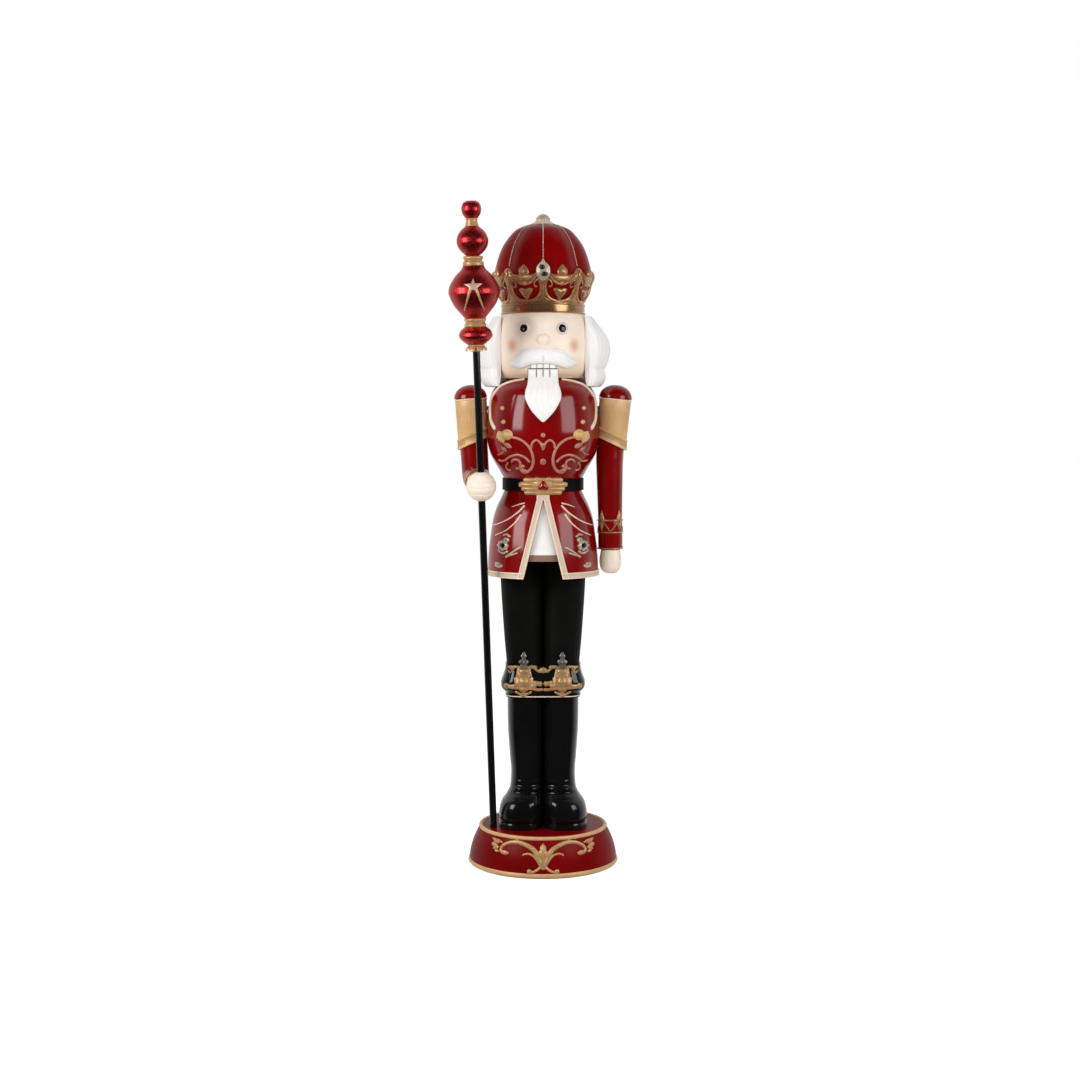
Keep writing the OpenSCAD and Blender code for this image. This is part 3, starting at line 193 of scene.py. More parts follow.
class Finish:
    """A paint, metal or stone: one material built from nodes."""

    def __init__(self, name, slot, constants):
        self.slot = slot
        self.material = bpy.data.materials.new(name)
        self.material.use_nodes = True
        self.tree = self.material.node_tree
        self.tree.nodes.clear()
        self.shader = self.tree.nodes.new("ShaderNodeBsdfPrincipled")
        out = self.tree.nodes.new("ShaderNodeOutputMaterial")
        self.tree.links.new(self.shader.outputs[0], out.inputs[0])
        for key, value in constants.items():
            self.shader.inputs[key].default_value = value
        self.place = self.node("ShaderNodeTexCoord", out="Object")

    def node(self, kind, settings=None, sockets=None, out=0):
        fed = {key: value.socket if isinstance(value, Signal) else value
               for key, value in (sockets or {}).items()}
        return Signal(self, add_node(self.tree, kind, settings, fed).outputs[out])

    def feed(self, key, signal):
        self.tree.links.new(signal.socket, self.shader.inputs[key])

    def stretched(self, scale):
        return self.node("ShaderNodeMapping", None, {"Vector": self.place, "Scale": scale})

    def noise(self, scale, detail=3.0, rough=0.5, stretch=None):
        place = self.stretched(stretch) if stretch else self.place
        return self.node("ShaderNodeTexNoise", None,
                         {"Vector": place, "Scale": scale, "Detail": detail, "Roughness": rough})

    def ramp(self, signal, *stops):
        """Share that follows a signal through stops of a place and a grey."""
        made = add_node(self.tree, "ShaderNodeValToRGB", None, {0: signal.socket})
        elements = made.color_ramp.elements
        while len(elements) < len(stops):
            elements.new(0.5)
        for stop, (spot, grey) in zip(elements, stops):
            stop.position = spot
            stop.color = (grey, grey, grey, 1)
        return Signal(self, made.outputs[0])

    def mix(self, share, a, b):
        return self.node("ShaderNodeMix", {"data_type": "RGBA"}, {0: share, 6: a, 7: b}, out=2)

    def bump(self, height, depth, strength=1.0):
        return self.node("ShaderNodeBump", None,
                         {"Height": height, "Distance": depth, "Strength": strength})

    def edges(self, low, high):
        """Share that runs from hollows to raised edges."""
        point = self.node("ShaderNodeNewGeometry", out="Pointiness")
        return self.ramp(point, (low, 0.0), (high, 1.0))

    def glow_spot(self, centre, radius):
        """Share that falls from 1 at a centre to 0 at a radius, in metres."""
        away = self.node("ShaderNodeVectorMath", {"operation": "DISTANCE"},
                         {0: self.place, 1: centre}, out="Value")
        return self.ramp(away * (1 / radius), (0.0, 1.0), (0.45, 0.62), (1.0, 0.0))


def enamel(name, slot, deep, bright, gloss=0.12, shine=1.0):
    """Glossy lacquer over paint, with the slight ripple of a sprayed coat."""
    f = Finish(name, slot, {"Roughness": 0.32, "Coat Weight": shine, "Coat Roughness": gloss,
                            "Coat IOR": 1.45, "Specular IOR Level": 0.05})
    cloud = f.ramp(f.noise(7, 4), (0.3, 0.0), (0.7, 1.0))
    f.feed("Base Color", f.mix(cloud, deep, bright))
    f.feed("Roughness", f.noise(60, 3) * 0.14 + 0.26)
    ripple = f.noise(190, 2, 0.45)
    dust = f.noise(1500, 1, 0.5)
    f.feed("Normal", f.bump(ripple + dust * 0.12, 0.00006))
    return f


def gilding(name, slot, shade, light, metal=0.72, rough=0.4, wear=None, coat=0.0):
    """Brushed gilt paint, darker in hollows and lighter on raised edges."""
    f = Finish(name, slot, {"Metallic": metal, "Roughness": rough, "Specular IOR Level": 0.5,
                            "Coat Weight": coat, "Coat Roughness": 0.12})
    patch = f.ramp(f.noise(45, 5, 0.6), (0.3, 0.0), (0.72, 1.0))
    strokes = f.ramp(f.noise(260, 4, 0.65, (1, 1, 0.22)), (0.3, 0.0), (0.75, 1.0))
    raised = f.edges(0.44, 0.56)
    tone = f.mix(patch * 0.55 + strokes * 0.45, shade, light)
    base = f.mix(raised, tuple(v * 0.5 for v in shade[:3]) + (1,), tone)
    if wear:
        rubbed = f.ramp(f.noise(95, 5, 0.7), (0.58, 0.0), (0.72, 1.0))
        base = f.mix(rubbed * 0.7, base, wear)
    f.feed("Base Color", base)
    f.feed("Roughness", f.noise(130, 4) * 0.22 + (rough - 0.1))
    f.feed("Normal", f.bump(f.noise(340, 4, 0.6) + strokes * 0.3, 0.00022))
    return f


def satin(name, slot, tint, shade, rough=0.42, coat=0.15, gloss=0.5):
    """Brushed satin paint with a little painted shade in the hollows."""
    f = Finish(name, slot, {"Roughness": rough, "Coat Weight": coat, "Coat Roughness": 0.25,
                            "Specular IOR Level": gloss})
    patch = f.ramp(f.noise(18, 4, 0.6), (0.3, 0.0), (0.75, 1.0))
    raised = f.edges(0.455, 0.51)
    worn = f.mix(patch * 0.5 + 0.5, shade, tint)
    f.feed("Base Color", f.mix(raised, shade, worn))
    f.feed("Roughness", f.noise(80, 4) * 0.16 + (rough - 0.08))
    f.feed("Normal", f.bump(f.noise(420, 3, 0.55), 0.00008))
    return f


CHIN_TOP, CHIN_FOOT = 1.43, 1.33


def face_paint():
    """Skin-coloured paint with blushed cheeks, painted shadow round the eyes, heaviest on the
    staff's side, and painted shade low on the face under the moustache.
    """
    f = Finish("skin paint", "skin_enamel", {"Roughness": 0.4, "Coat Weight": 0.25,
                                             "Coat Roughness": 0.2, "Subsurface Weight": 0.05})
    patch = f.ramp(f.noise(22, 4, 0.6), (0.3, 0.0), (0.75, 1.0))
    skin = f.mix(patch, srgb(254, 231, 210), srgb(255, 240, 224))
    for side in (-1, 1):
        cheek = f.glow_spot((side * 0.086, -0.1, 1.461), 0.023)
        skin = f.mix(cheek * 0.85, skin, srgb(232, 160, 112))
        # Painted shadow round each eye, much heavier round the eye on the staff's side, where the
        # staff's balls would shade the face
        eye_shadow = f.glow_spot((side * 0.051, -0.12, 1.506), 0.042)
        skin = f.mix(eye_shadow * (0.5 - side * 0.3), skin, srgb(188, 156, 142))
    # Painted shade low on the face, from under the moustache down to the neck
    height = f.node("ShaderNodeSeparateXYZ", None, {0: f.place}, out="Z")
    low = f.ramp((CHIN_TOP - height) * 20.0, (0.0, 0.0), (1.0, 1.0))
    neck = f.ramp((height - CHIN_FOOT) * 20.0, (0.0, 0.0), (0.6, 1.0))
    f.feed("Base Color", f.mix(low * neck * 0.7, skin, srgb(226, 190, 150)))
    f.feed("Roughness", f.noise(90, 4) * 0.16 + 0.34)
    f.feed("Normal", f.bump(f.noise(500, 3, 0.5), 0.00007))
    return f


def plywood():
    """Birch board with plies that show on its edges."""
    f = Finish("birch plywood", "plywood", {"Roughness": 0.6})
    grain = f.noise(40, 6, 0.6, (1, 9, 1))
    plies = f.node("ShaderNodeTexWave", {"bands_direction": "Z"},
                   {"Vector": f.place, "Scale": 95.0, "Distortion": 0.6})
    shade = f.mix(f.ramp(grain, (0.3, 0.0), (0.7, 1.0)), srgb(196, 158, 108), srgb(224, 193, 146))
    f.feed("Base Color", f.mix(plies * 0.35, shade, srgb(150, 108, 66)))
    f.feed("Roughness", grain * 0.2 + 0.5)
    f.feed("Normal", f.bump(grain, 0.0002))
    return f


def plated_steel():
    f = Finish("plated steel", "steel", {"Metallic": 1.0, "Roughness": 0.32})
    lines = f.noise(500, 3, 0.6, (1, 1, 0.06))
    f.feed("Base Color", f.mix(f.noise(60, 4), srgb(168, 170, 174), srgb(205, 206, 208)))
    f.feed("Roughness", lines * 0.25 + 0.2)
    f.feed("Normal", f.bump(lines, 0.00008))
    return f


def foam():
    f = Finish("foam pad", "foam_rubber", {"Roughness": 0.9})
    cells = f.node("ShaderNodeTexVoronoi", None, {"Vector": f.place, "Scale": 900.0})
    f.feed("Base Color", f.mix(cells, srgb(22, 22, 22), srgb(48, 47, 46)))
    f.feed("Normal", f.bump(cells, 0.0004))
    return f


def foil(name):
    """Metallic red lacquer with fine flakes under a clear coat."""
    f = Finish(name, "red_foil", {"Metallic": 0.94, "Roughness": 0.34, "Coat Weight": 0.4,
                                  "Coat Roughness": 0.1, "Anisotropic": 0.6})
    flakes = f.node("ShaderNodeTexVoronoi", None, {"Vector": f.place, "Scale": 620.0}, out="Color")
    spark = f.node("ShaderNodeSeparateColor", None, {0: flakes})
    cloud = f.ramp(f.noise(30, 5, 0.65), (0.3, 0.0), (0.7, 1.0))
    body = f.mix(cloud, srgb(158, 8, 16), srgb(204, 30, 34))
    f.feed("Base Color", f.mix(f.ramp(spark, (0.55, 0.0), (1.0, 1.0)) * 0.35, body,
                               srgb(246, 120, 110)))
    f.feed("Roughness", spark * 0.16 + 0.26)
    f.feed("Normal", f.bump(spark, 0.0001, 0.6))
    return f


def stone(name, slot, tint, deep):
    f = Finish(name, slot, {"Roughness": 0.08, "Coat Weight": 1.0, "Coat Roughness": 0.03})
    cloud = f.noise(160, 4, 0.6)
    f.feed("Base Color", f.mix(f.ramp(cloud, (0.35, 0.0), (0.7, 1.0)), deep, tint))
    f.feed("Roughness", cloud * 0.1 + 0.04)
    return f


RED = enamel("red enamel", "red_enamel", srgb(115, 0, 1), srgb(142, 0, 2))
CAP_RED = enamel("crown red enamel", "red_enamel", srgb(108, 0, 1), srgb(134, 0, 2), 0.07,
                 shine=0.45)
SOFT_RED = enamel("soft red enamel", "red_enamel", srgb(106, 0, 1), srgb(128, 0, 3), 0.3, shine=0.1)
BLACK = enamel("black enamel", "black_gloss", srgb(9, 9, 9), srgb(17, 17, 17), 0.09)
BELT_BLACK = satin("black belt paint", "black_gloss", srgb(8, 7, 7), srgb(3, 3, 3), 0.5, 0.04,
                   gloss=0.1)
CLOTH_BLACK = satin("black satin paint", "black_satin", srgb(15, 16, 11), srgb(5, 5, 5), 0.62, 0.02,
                    gloss=0.12)
GOLD = gilding("gold leaf paint", "gold_leaf", srgb(228, 178, 118), srgb(254, 212, 152), 0.16, 0.42)
GILT = gilding("burnished gilt", "gold_leaf", srgb(174, 120, 76), srgb(232, 182, 126), 0.6, 0.28,
               coat=0.5)
BRASS = gilding("brass gilt", "gold_leaf", srgb(200, 148, 94), srgb(248, 202, 144), 0.34, 0.34,
                coat=0.4)
STAR_GILT = gilding("star gilt", "pale_gold", srgb(206, 160, 132), srgb(250, 224, 198), 0.3, 0.38,
                    coat=0.3)
POLISHED = gilding("polished gilt", "gold_leaf", srgb(176, 122, 78), srgb(232, 182, 130), 0.8, 0.2,
                   coat=0.6)
DARK_GILT = gilding("dark gilt", "gold_leaf", srgb(168, 126, 80), srgb(248, 200, 142), 0.4, 0.36,
               coat=0.3)
TARNISH = gilding("tarnished silver", "silver_gilt", srgb(92, 84, 74), srgb(214, 206, 192), 0.6,
                  0.3, coat=0.3)
ROSE = gilding("rose gilt", "rose_gold", srgb(190, 112, 92), srgb(232, 178, 150), 0.3, 0.4,
               srgb(160, 60, 50))
PALE = gilding("pale gilt", "pale_gold", srgb(250, 216, 186), srgb(255, 242, 224), 0.05, 0.42)
SILVER = gilding("silver gilt", "silver_gilt", srgb(186, 168, 142), srgb(242, 230, 208), 0.42, 0.32,
                 coat=0.3)
EYE_WHITE = satin("eye paint", "white_enamel", srgb(226, 214, 206), srgb(200, 186, 176), 0.3, 0.3)
MOUTH_LINE = satin("mouth line paint", "taupe_enamel", srgb(168, 152, 146), srgb(140, 120, 114),
                   0.5, 0.0)
SKIN = face_paint()
WHITE = satin("white paint", "white_enamel", srgb(252, 252, 251), srgb(236, 231, 226), 0.38, 0.2)
HAIR_WHITE = satin("hair white", "white_enamel", srgb(255, 254, 252), srgb(248, 243, 239), 0.4,
                   0.15)
# Painted shade: taupe for the waistcoat hem, the colour of a gilt trim in shade
SHADED_HEM = satin("shaded hem taupe paint", "taupe_enamel", srgb(152, 118, 102), srgb(112, 82, 68))
PLY = plywood()
STEEL = plated_steel()
FOAM = foam()
FOIL = foil("red metallic lacquer")
JET = stone("dark stone", "dark_stone", srgb(24, 24, 27), srgb(4, 4, 5))
RUBY = stone("red stone", "red_glass", srgb(178, 4, 12), srgb(88, 0, 4))


# ---- Curves and sections, in millimetres --------------------------------------------------------

def smooth(points, n):
    """Catmull-Rom curve through points, with n steps from each point to the next."""
    p = np.array(points, float)
    last = len(p) - 1
    out = []
    for i in range(last):
        a, b, c, d = p[max(i - 1, 0)], p[i], p[i + 1], p[min(i + 2, last)]
        for j in range(n):
            t = j / n
            out.append(0.5 * (2 * b + (c - a) * t + (2 * a - 5 * b + 4 * c - d) * t * t
                              + (3 * b - a - 3 * c + d) * t ** 3))
    out.append(p[last])
    return np.array(out)


def full_turn(n):
    return np.linspace(0, 2 * math.pi, n, endpoint=False)


def around(r, turn, z):
    """Points at a radius, an angle from straight ahead and a height."""
    return np.stack([r * np.sin(turn), -r * np.cos(turn), z], -1)


def mirrored(half):
    """Whole outline of the half that starts and ends on the middle line."""
    return np.concatenate([half, (half * [-1, 1])[-2:0:-1]])


def radius_at(outline, z):
    return np.interp(z, outline[:, 1], outline[:, 0])


def superellipse(cx, cy, a, b, z, n, e):
    t = full_turn(n)
    x = cx + a * np.sign(np.cos(t)) * np.abs(np.cos(t)) ** (2 / e)
    y = cy + b * np.sign(np.sin(t)) * np.abs(np.sin(t)) ** (2 / e)
    return np.stack([x, y, np.full(n, float(z))], 1)


BASE_R, BASE_TOP_R, BASE_H, PAD_T = 210, 177, 108, 3
LEG_Y, KNEE_X, THIGH_X, ANKLE_X, TOE_X, TOE_Y = 62, 101, 122, 91, 125, 98
SOLE_Z, BOOT_TOP, HIP_Z, HEM_Z, WAIST_Z = 126, 500, 880, 820, 1062
CUFF_H, CUFF_OUT, CUFF_Z = 92, 16, 477.92
HEM_R, WAIST_R, CHEST_R, NECK_R, WALL = 156, 108, 159, 100, 5
PANEL_Z, APEX_Z, OPENING_X, TRIM_W = 886, 1037.8, 54, 17
CHEST_RISE, TORSO_H = 167, 310
NECK_Z, MOUTH_Z, CROWN_Z = 1372, 1397, 1549
HEAD_R, HEAD_H, JAW_X = 131, 177, 41.5
BAND_R, BAND_H, CROWN_R, LEAF_H, DOME_RISE = 116, 30, 139, 108, 250
RAIL_T = 5
SEAT = 0.3
AXIS_SIDES = (1, -1)

base_outline = np.array([[BASE_R - (BASE_R - BASE_TOP_R) * t * t, PAD_T + (BASE_H - PAD_T) * t]
                         for t in np.linspace(0, 1, 33)])
skirt_drop = WAIST_Z - HEM_Z
skirt_outline = smooth([[HEM_R, HEM_Z], [HEM_R, HEM_Z + skirt_drop * 0.1]] + [
    [WAIST_R + (HEM_R - WAIST_R) * a, HEM_Z + skirt_drop * b]
    for a, b in ((0.93, 0.32), (0.77, 0.56), (0.66, 0.68), (0.46, 0.8), (0.2, 0.91), (0, 1))], 8)
torso_outline = smooth(
    [[WAIST_R + (CHEST_R - WAIST_R) * a, WAIST_Z + CHEST_RISE * b]
     for a, b in ((0, 0), (0.02, 0.108), (0.078, 0.204), (0.2, 0.275), (0.353, 0.36),
                  (0.569, 0.467), (0.804, 0.617), (0.96, 0.826), (1, 1))]
    + [[NECK_R + (CHEST_R - NECK_R) * a, WAIST_Z + CHEST_RISE + (TORSO_H - CHEST_RISE) * b]
       for a, b in ((0.966, 0.287), (0.86, 0.566), (0.74, 0.74), (0.52, 0.86), (0.26, 0.944),
                    (0, 1))], 8)
head_outline = smooth([
    [HEAD_R - 19, NECK_Z], [HEAD_R - 7, NECK_Z + 13], [HEAD_R - 2, NECK_Z + 30],
    [HEAD_R, NECK_Z + 62], [HEAD_R, NECK_Z + HEAD_H * 0.66], [HEAD_R - 2, NECK_Z + HEAD_H * 0.81],
    [HEAD_R - 7, NECK_Z + HEAD_H * 0.92], [BAND_R, CROWN_Z]], 8)
leaf_foot = CROWN_Z + BAND_H
coronet_outline = smooth([
    [BAND_R - 2, leaf_foot + SEAT], [BAND_R + 7, leaf_foot + LEAF_H * 0.2],
    [CROWN_R - 7, leaf_foot + LEAF_H * 0.42], [CROWN_R + 0.6, leaf_foot + LEAF_H * 0.66],
    [140, leaf_foot + LEAF_H * 0.84], [142, CROWN_Z + 144]], 8)


def dome_z(t):
    return CROWN_Z + DOME_RISE * t


cap_outline = smooth([
    [BAND_R - 9, CROWN_Z + SEAT], [BAND_R - 9, leaf_foot], [BAND_R + 3, leaf_foot + LEAF_H * 0.2],
    [CROWN_R - 9, leaf_foot + LEAF_H * 0.42], [CROWN_R - 1, leaf_foot + LEAF_H * 0.66],
    [CROWN_R, leaf_foot + LEAF_H * 0.83], [CROWN_R * 0.955, dome_z(0.58)],
    [CROWN_R * 0.91, dome_z(0.66)], [CROWN_R * 0.84, dome_z(0.75)],
    [CROWN_R * 0.738, dome_z(0.836)], [CROWN_R * 0.596, dome_z(0.924)],
    [CROWN_R * 0.464, dome_z(0.968)], [CROWN_R * 0.3, dome_z(1)]], 6)


def lifted(outline, turn, z, lift):
    """Points a lift off a turned surface, square to it."""
    r = radius_at(outline, z)
    slope = np.arctan((radius_at(outline, z - 4) - radius_at(outline, z + 4)) / 8)
    return around(r + lift * np.cos(slope), turn, z + lift * np.sin(slope))


def round_front(outline):
    """Maps front-view x and z, and a lift off the surface, onto a turned surface."""
    def place(x, z, lift):
        turn = np.arcsin(np.clip(x / radius_at(outline, z), -0.9995, 0.9995))
        return lifted(outline, turn, z, lift)
    return place


def round_wrap(outline, reference):
    """As round_front, but x is a distance round the surface at a reference radius."""
    def place(x, z, lift):
        return lifted(outline, x / reference, z, lift)
    return place


on_base = round_front(base_outline)
on_skirt = round_front(skirt_outline)
on_torso = round_front(torso_outline)
on_head = round_front(head_outline)


# ---- Meshes -------------------------------------------------------------------------------------

WELD, SLIVER = 2e-6, 1e-7


class Shape:
    """Points and faces of one piece, in millimetres."""

    def __init__(self):
        self.points, self.faces, self.count = [], [], 0

    def add(self, points, faces):
        self.points.append(np.asarray(points, float).reshape(-1, 3))
        self.faces.extend([[i + self.count for i in f] for f in faces])
        self.count += len(self.points[-1])
        return self

    def grid(self, points, close=False):
        """Faces over closed rows of points; close joins the last row to the first."""
        points = np.asarray(points, float)
        rows, cols = points.shape[:2]
        r, c = np.meshgrid(np.arange(rows if close else rows - 1), np.arange(cols), indexing="ij")
        r2, c2 = (r + 1) % rows, (c + 1) % cols
        quads = np.stack([r * cols + c, r * cols + c2, r2 * cols + c2, r2 * cols + c], -1)
        return self.add(points, quads.reshape(-1, 4).tolist())

    def lathe(self, profile, n=160, ring=False, placed=None):
        """Turned solid of a profile of [radius, height] from axis to axis, or a closed ring."""
        profile = np.asarray(profile, float)
        points = around(profile[:, :1], full_turn(n), np.repeat(profile[:, 1:], n, 1))
        if placed is not None:
            points = placed(points)
        return self.grid(points, close=ring)

    def loft(self, rings):
        """Closed solid through rings, with its two ends drawn to their middles."""
        rings = np.asarray(rings, float)
        low = np.repeat(rings[:1].mean(1, keepdims=True), rings.shape[1], 1)
        high = np.repeat(rings[-1:].mean(1, keepdims=True), rings.shape[1], 1)
        return self.grid(np.concatenate([low, rings, high]))

    def dome(self, place, centre, outline, rise, rings=6, sink=0.6):
        """Pillow over an outline of front-view offsets, seated on a surface."""
        outline = np.asarray(outline, float)
        k = np.sin(np.linspace(0, math.pi / 2, rings + 1))[:, None, None]
        flat = np.asarray(centre) + k * outline[None]
        lift = rise * np.sqrt(np.maximum(0, 1 - k[..., 0] ** 2)) * np.ones(len(outline))
        top = place(flat[..., 0], flat[..., 1], lift)
        under = place(flat[::-1, :, 0], flat[::-1, :, 1], np.full(flat.shape[:2], -sink))
        return self.grid(np.concatenate([top, under]))

    def mesh(self, name):
        mesh = bpy.data.meshes.new(name)
        mesh.from_pydata((np.concatenate(self.points) * MM).tolist(), [], self.faces)
        return mesh


def clean(mesh):
    """Welds seams and poles and turns every face outward."""
    work = bmesh.new()
    work.from_mesh(mesh)
    bmesh.ops.remove_doubles(work, verts=work.verts, dist=WELD)
    bmesh.ops.dissolve_degenerate(work, dist=SLIVER, edges=work.edges)
    bmesh.ops.recalc_face_normals(work, faces=work.faces)
    work.to_mesh(mesh)
    work.free()


def piece(name, mesh, finish, cad=(), body="root", sharp=38):
    """Makes a finished piece of a mesh, in place of the CAD nodes it stands for."""
    clean(mesh)
    mesh.name = name
    mesh.materials.clear()
    mesh.materials.append(finish.material)
    for face in mesh.polygons:
        face.use_smooth = True
    mesh.set_sharp_from_angle(angle=math.radians(sharp))
    made = bpy.data.objects.new(name, mesh)
    bpy.context.scene.collection.objects.link(made)
    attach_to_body(made, body)
    if cad:
        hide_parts(*cad)
    return made


def joined(*meshes):
    """One mesh of several."""
    work = bmesh.new()
    for mesh in meshes:
        work.from_mesh(mesh)
    out = bpy.data.meshes.new("joined")
    work.to_mesh(out)
    work.free()
    return out


def baked(seed, modifiers):
    """The plain mesh that an object has under its modifiers."""
    probe = bpy.data.objects.new("seed", seed)
    bpy.context.scene.collection.objects.link(probe)
    for add in modifiers:
        add(probe)
    graph = bpy.context.evaluated_depsgraph_get()
    mesh = bpy.data.meshes.new_from_object(probe.evaluated_get(graph), depsgraph=graph)
    probe.modifiers.clear()
    bpy.data.objects.remove(probe)
    return mesh


def cut(mesh, *tools):
    """Mesh less each of the tool shapes."""
    clean(mesh)
    knives = []
    for tool in tools:
        knife = bpy.data.objects.new("knife", tool.mesh("knife"))
        clean(knife.data)
        bpy.context.scene.collection.objects.link(knife)
        knives.append(knife)

    def carve(probe):
        for knife in knives:
            step = probe.modifiers.new("cut", "BOOLEAN")
            step.operation = "DIFFERENCE"
            step.solver = "EXACT"
            step.object = knife
    out = baked(mesh, [carve])
    for knife in knives:
        bpy.data.objects.remove(knife)
    return out


def block(low, high):
    """Box between two corners."""
    (a, b, c), (d, e, f) = low, high
    return Shape().add([[a, b, c], [d, b, c], [d, e, c], [a, e, c], [a, b, f], [d, b, f], [d, e, f],
                        [a, e, f]],
                       [[0, 3, 2, 1], [4, 5, 6, 7], [0, 1, 5, 4], [1, 2, 6, 5], [2, 3, 7, 6],
                        [3, 0, 4, 7]])


# ---- Geometry node trees ------------------------------------------------------------------------

class Tree:
    """A geometry node group with short calls."""

    def __init__(self, name, inputs):
        self.group = bpy.data.node_groups.new(name, "GeometryNodeTree")
        face = self.group.interface
        face.new_socket("Geometry", in_out="OUTPUT", socket_type="NodeSocketGeometry")
        face.new_socket("Geometry", in_out="INPUT", socket_type="NodeSocketGeometry")
        self.ids = {}
        for label, kind in inputs.items():
            self.ids[label] = face.new_socket(label, in_out="INPUT", socket_type=kind).identifier
        self.ids["Material"] = face.new_socket("Material", in_out="INPUT",
                                               socket_type="NodeSocketMaterial").identifier
        self.input = self.group.nodes.new("NodeGroupInput")

    def get(self, label):
        return self.input.outputs[label]

    def node(self, kind, settings=None, sockets=None):
        return add_node(self.group, kind, settings, sockets).outputs[0]

    def end(self, geometry):
        real = self.node("GeometryNodeRealizeInstances", None, {"Geometry": geometry})
        painted = self.node("GeometryNodeSetMaterial", None,
                            {"Geometry": real, "Material": self.get("Material")})
        add_node(self.group, "NodeGroupOutput", None, {0: painted})
        return self

    def grow(self, seed, finish, **values):
        """The plain mesh that the tree makes of a seed mesh."""
        def attach(probe):
            step = probe.modifiers.new(self.group.name, "NODES")
            step.node_group = self.group
            for label, value in values.items():
                step[self.ids[label]] = value
            step[self.ids["Material"]] = finish.material
        return baked(seed, [attach])


def cord_tree():
    """Round cords along the seed's edges, as thick as their half_width attribute."""
    tree = Tree("cords along paths", {"Sides": "NodeSocketInt"})
    line = tree.node("GeometryNodeMeshToCurve", None, {"Mesh": tree.get("Geometry")})
    ring = tree.node("GeometryNodeCurvePrimitiveCircle", None,
                     {"Resolution": tree.get("Sides"), "Radius": 1.0})
    width = tree.node("GeometryNodeInputNamedAttribute", {"data_type": "FLOAT"},
                      {"Name": "half_width"})
    return tree.end(tree.node("GeometryNodeCurveToMesh", None, {
        "Curve": line, "Profile Curve": ring, "Scale": width, "Fill Caps": True}))


def ring_tree():
    """Copies of the seed turned about the upright axis, one step apart."""
    tree = Tree("copies round an axis", {"Count": "NodeSocketInt", "Start": "NodeSocketFloat",
                                         "Step": "NodeSocketFloat"})
    points = tree.node("GeometryNodePoints", None, {"Count": tree.get("Count")})
    index = tree.node("GeometryNodeInputIndex")
    step = tree.node("ShaderNodeMath", {"operation": "MULTIPLY_ADD"},
                     {0: index, 1: tree.get("Step"), 2: tree.get("Start")})
    turn = tree.node("FunctionNodeAxisAngleToRotation", None, {"Axis": (0, 0, 1), "Angle": step})
    return tree.end(tree.node("GeometryNodeInstanceOnPoints", None, {
        "Points": points, "Instance": tree.get("Geometry"), "Rotation": turn}))


def bead_tree():
    """Small balls along the seed's edges, one spacing apart."""
    tree = Tree("beads along a path", {"Spacing": "NodeSocketFloat", "Radius": "NodeSocketFloat"})
    line = tree.node("GeometryNodeMeshToCurve", None, {"Mesh": tree.get("Geometry")})
    spots = tree.node("GeometryNodeResampleCurve", {"mode": "LENGTH"},
                      {"Curve": line, "Length": tree.get("Spacing")})
    ball = tree.node("GeometryNodeMeshUVSphere", None,
                     {"Segments": 12, "Rings": 8, "Radius": tree.get("Radius")})
    return tree.end(tree.node("GeometryNodeInstanceOnPoints", None,
                              {"Points": spots, "Instance": ball}))


CORDS, RINGS, BEADS = cord_tree(), ring_tree(), bead_tree()


class Paths:
    """Lines that cords or beads follow, in millimetres."""

    def __init__(self):
        self.points, self.widths, self.edges = [], [], []

    def line(self, points, widths):
        start = len(self.points)
        self.points.extend(np.asarray(points, float).tolist())
        self.widths.extend(np.broadcast_to(widths, len(points)).tolist())
        self.edges.extend((start + i, start + i + 1) for i in range(len(points) - 1))
        return self

    def scroll(self, place, points, start, end, rise=3.0, both=True, n=8):
        """Raised tapering cord over a surface, along front-view points."""
        c = smooth(points, n)
        step = np.linalg.norm(np.diff(c, axis=0), axis=1)
        run = np.concatenate([[0], np.cumsum(step)])
        half = np.linspace(start, end, len(c)) / 2
        near = np.minimum(run, run[-1] - run) / half
        tip = np.sqrt(np.clip(1 - (1 - np.minimum(near, 1)) ** 2, 0.01, 1))
        half, high = half * tip, np.minimum(rise, half) * tip
        ball = (high ** 2 + half ** 2) / (2 * high)
        for side in (AXIS_SIDES if both else AXIS_SIDES[:1]):
            self.line(place(side * c[:, 0], c[:, 1], high - ball), ball)
        return self

    def scrolls(self, place, base, rise, rows):
        """Scrolls from rows of points above a base height, start and end widths and own rise."""
        for points, start, end, *own in rows:
            self.scroll(place, np.array(points) + [0, base], start, end, own[0] if own else rise)
        return self

    def mesh(self):
        mesh = bpy.data.meshes.new("paths")
        mesh.from_pydata((np.array(self.points) * MM).tolist(), self.edges, [])
        width = mesh.attributes.new("half_width", "FLOAT", "POINT")
        width.data.foreach_set("value", (np.array(self.widths) * MM).astype(np.float32))
        return mesh

    def cords(self, finish, sides=14):
        return CORDS.grow(self.mesh(), finish, Sides=sides)


def oval(a, b, n=28):
    t = full_turn(n)
    return np.stack([a * np.cos(t), b * np.sin(t)], 1)


def leaf(length, width, turn=0.0):
    """Pointed leaf from the origin, along +z before it is turned."""
    t = np.linspace(0, 1, 12)
    side = width / 2 * np.sin(math.pi * t ** 0.8)
    up = length * (t - 0.5)
    edge = np.concatenate([np.stack([side, up], 1), np.stack([-side[-2:0:-1], up[-2:0:-1]], 1)])
    a = math.radians(turn)
    return edge @ np.array([[math.cos(a), math.sin(a)], [-math.sin(a), math.cos(a)]]).T


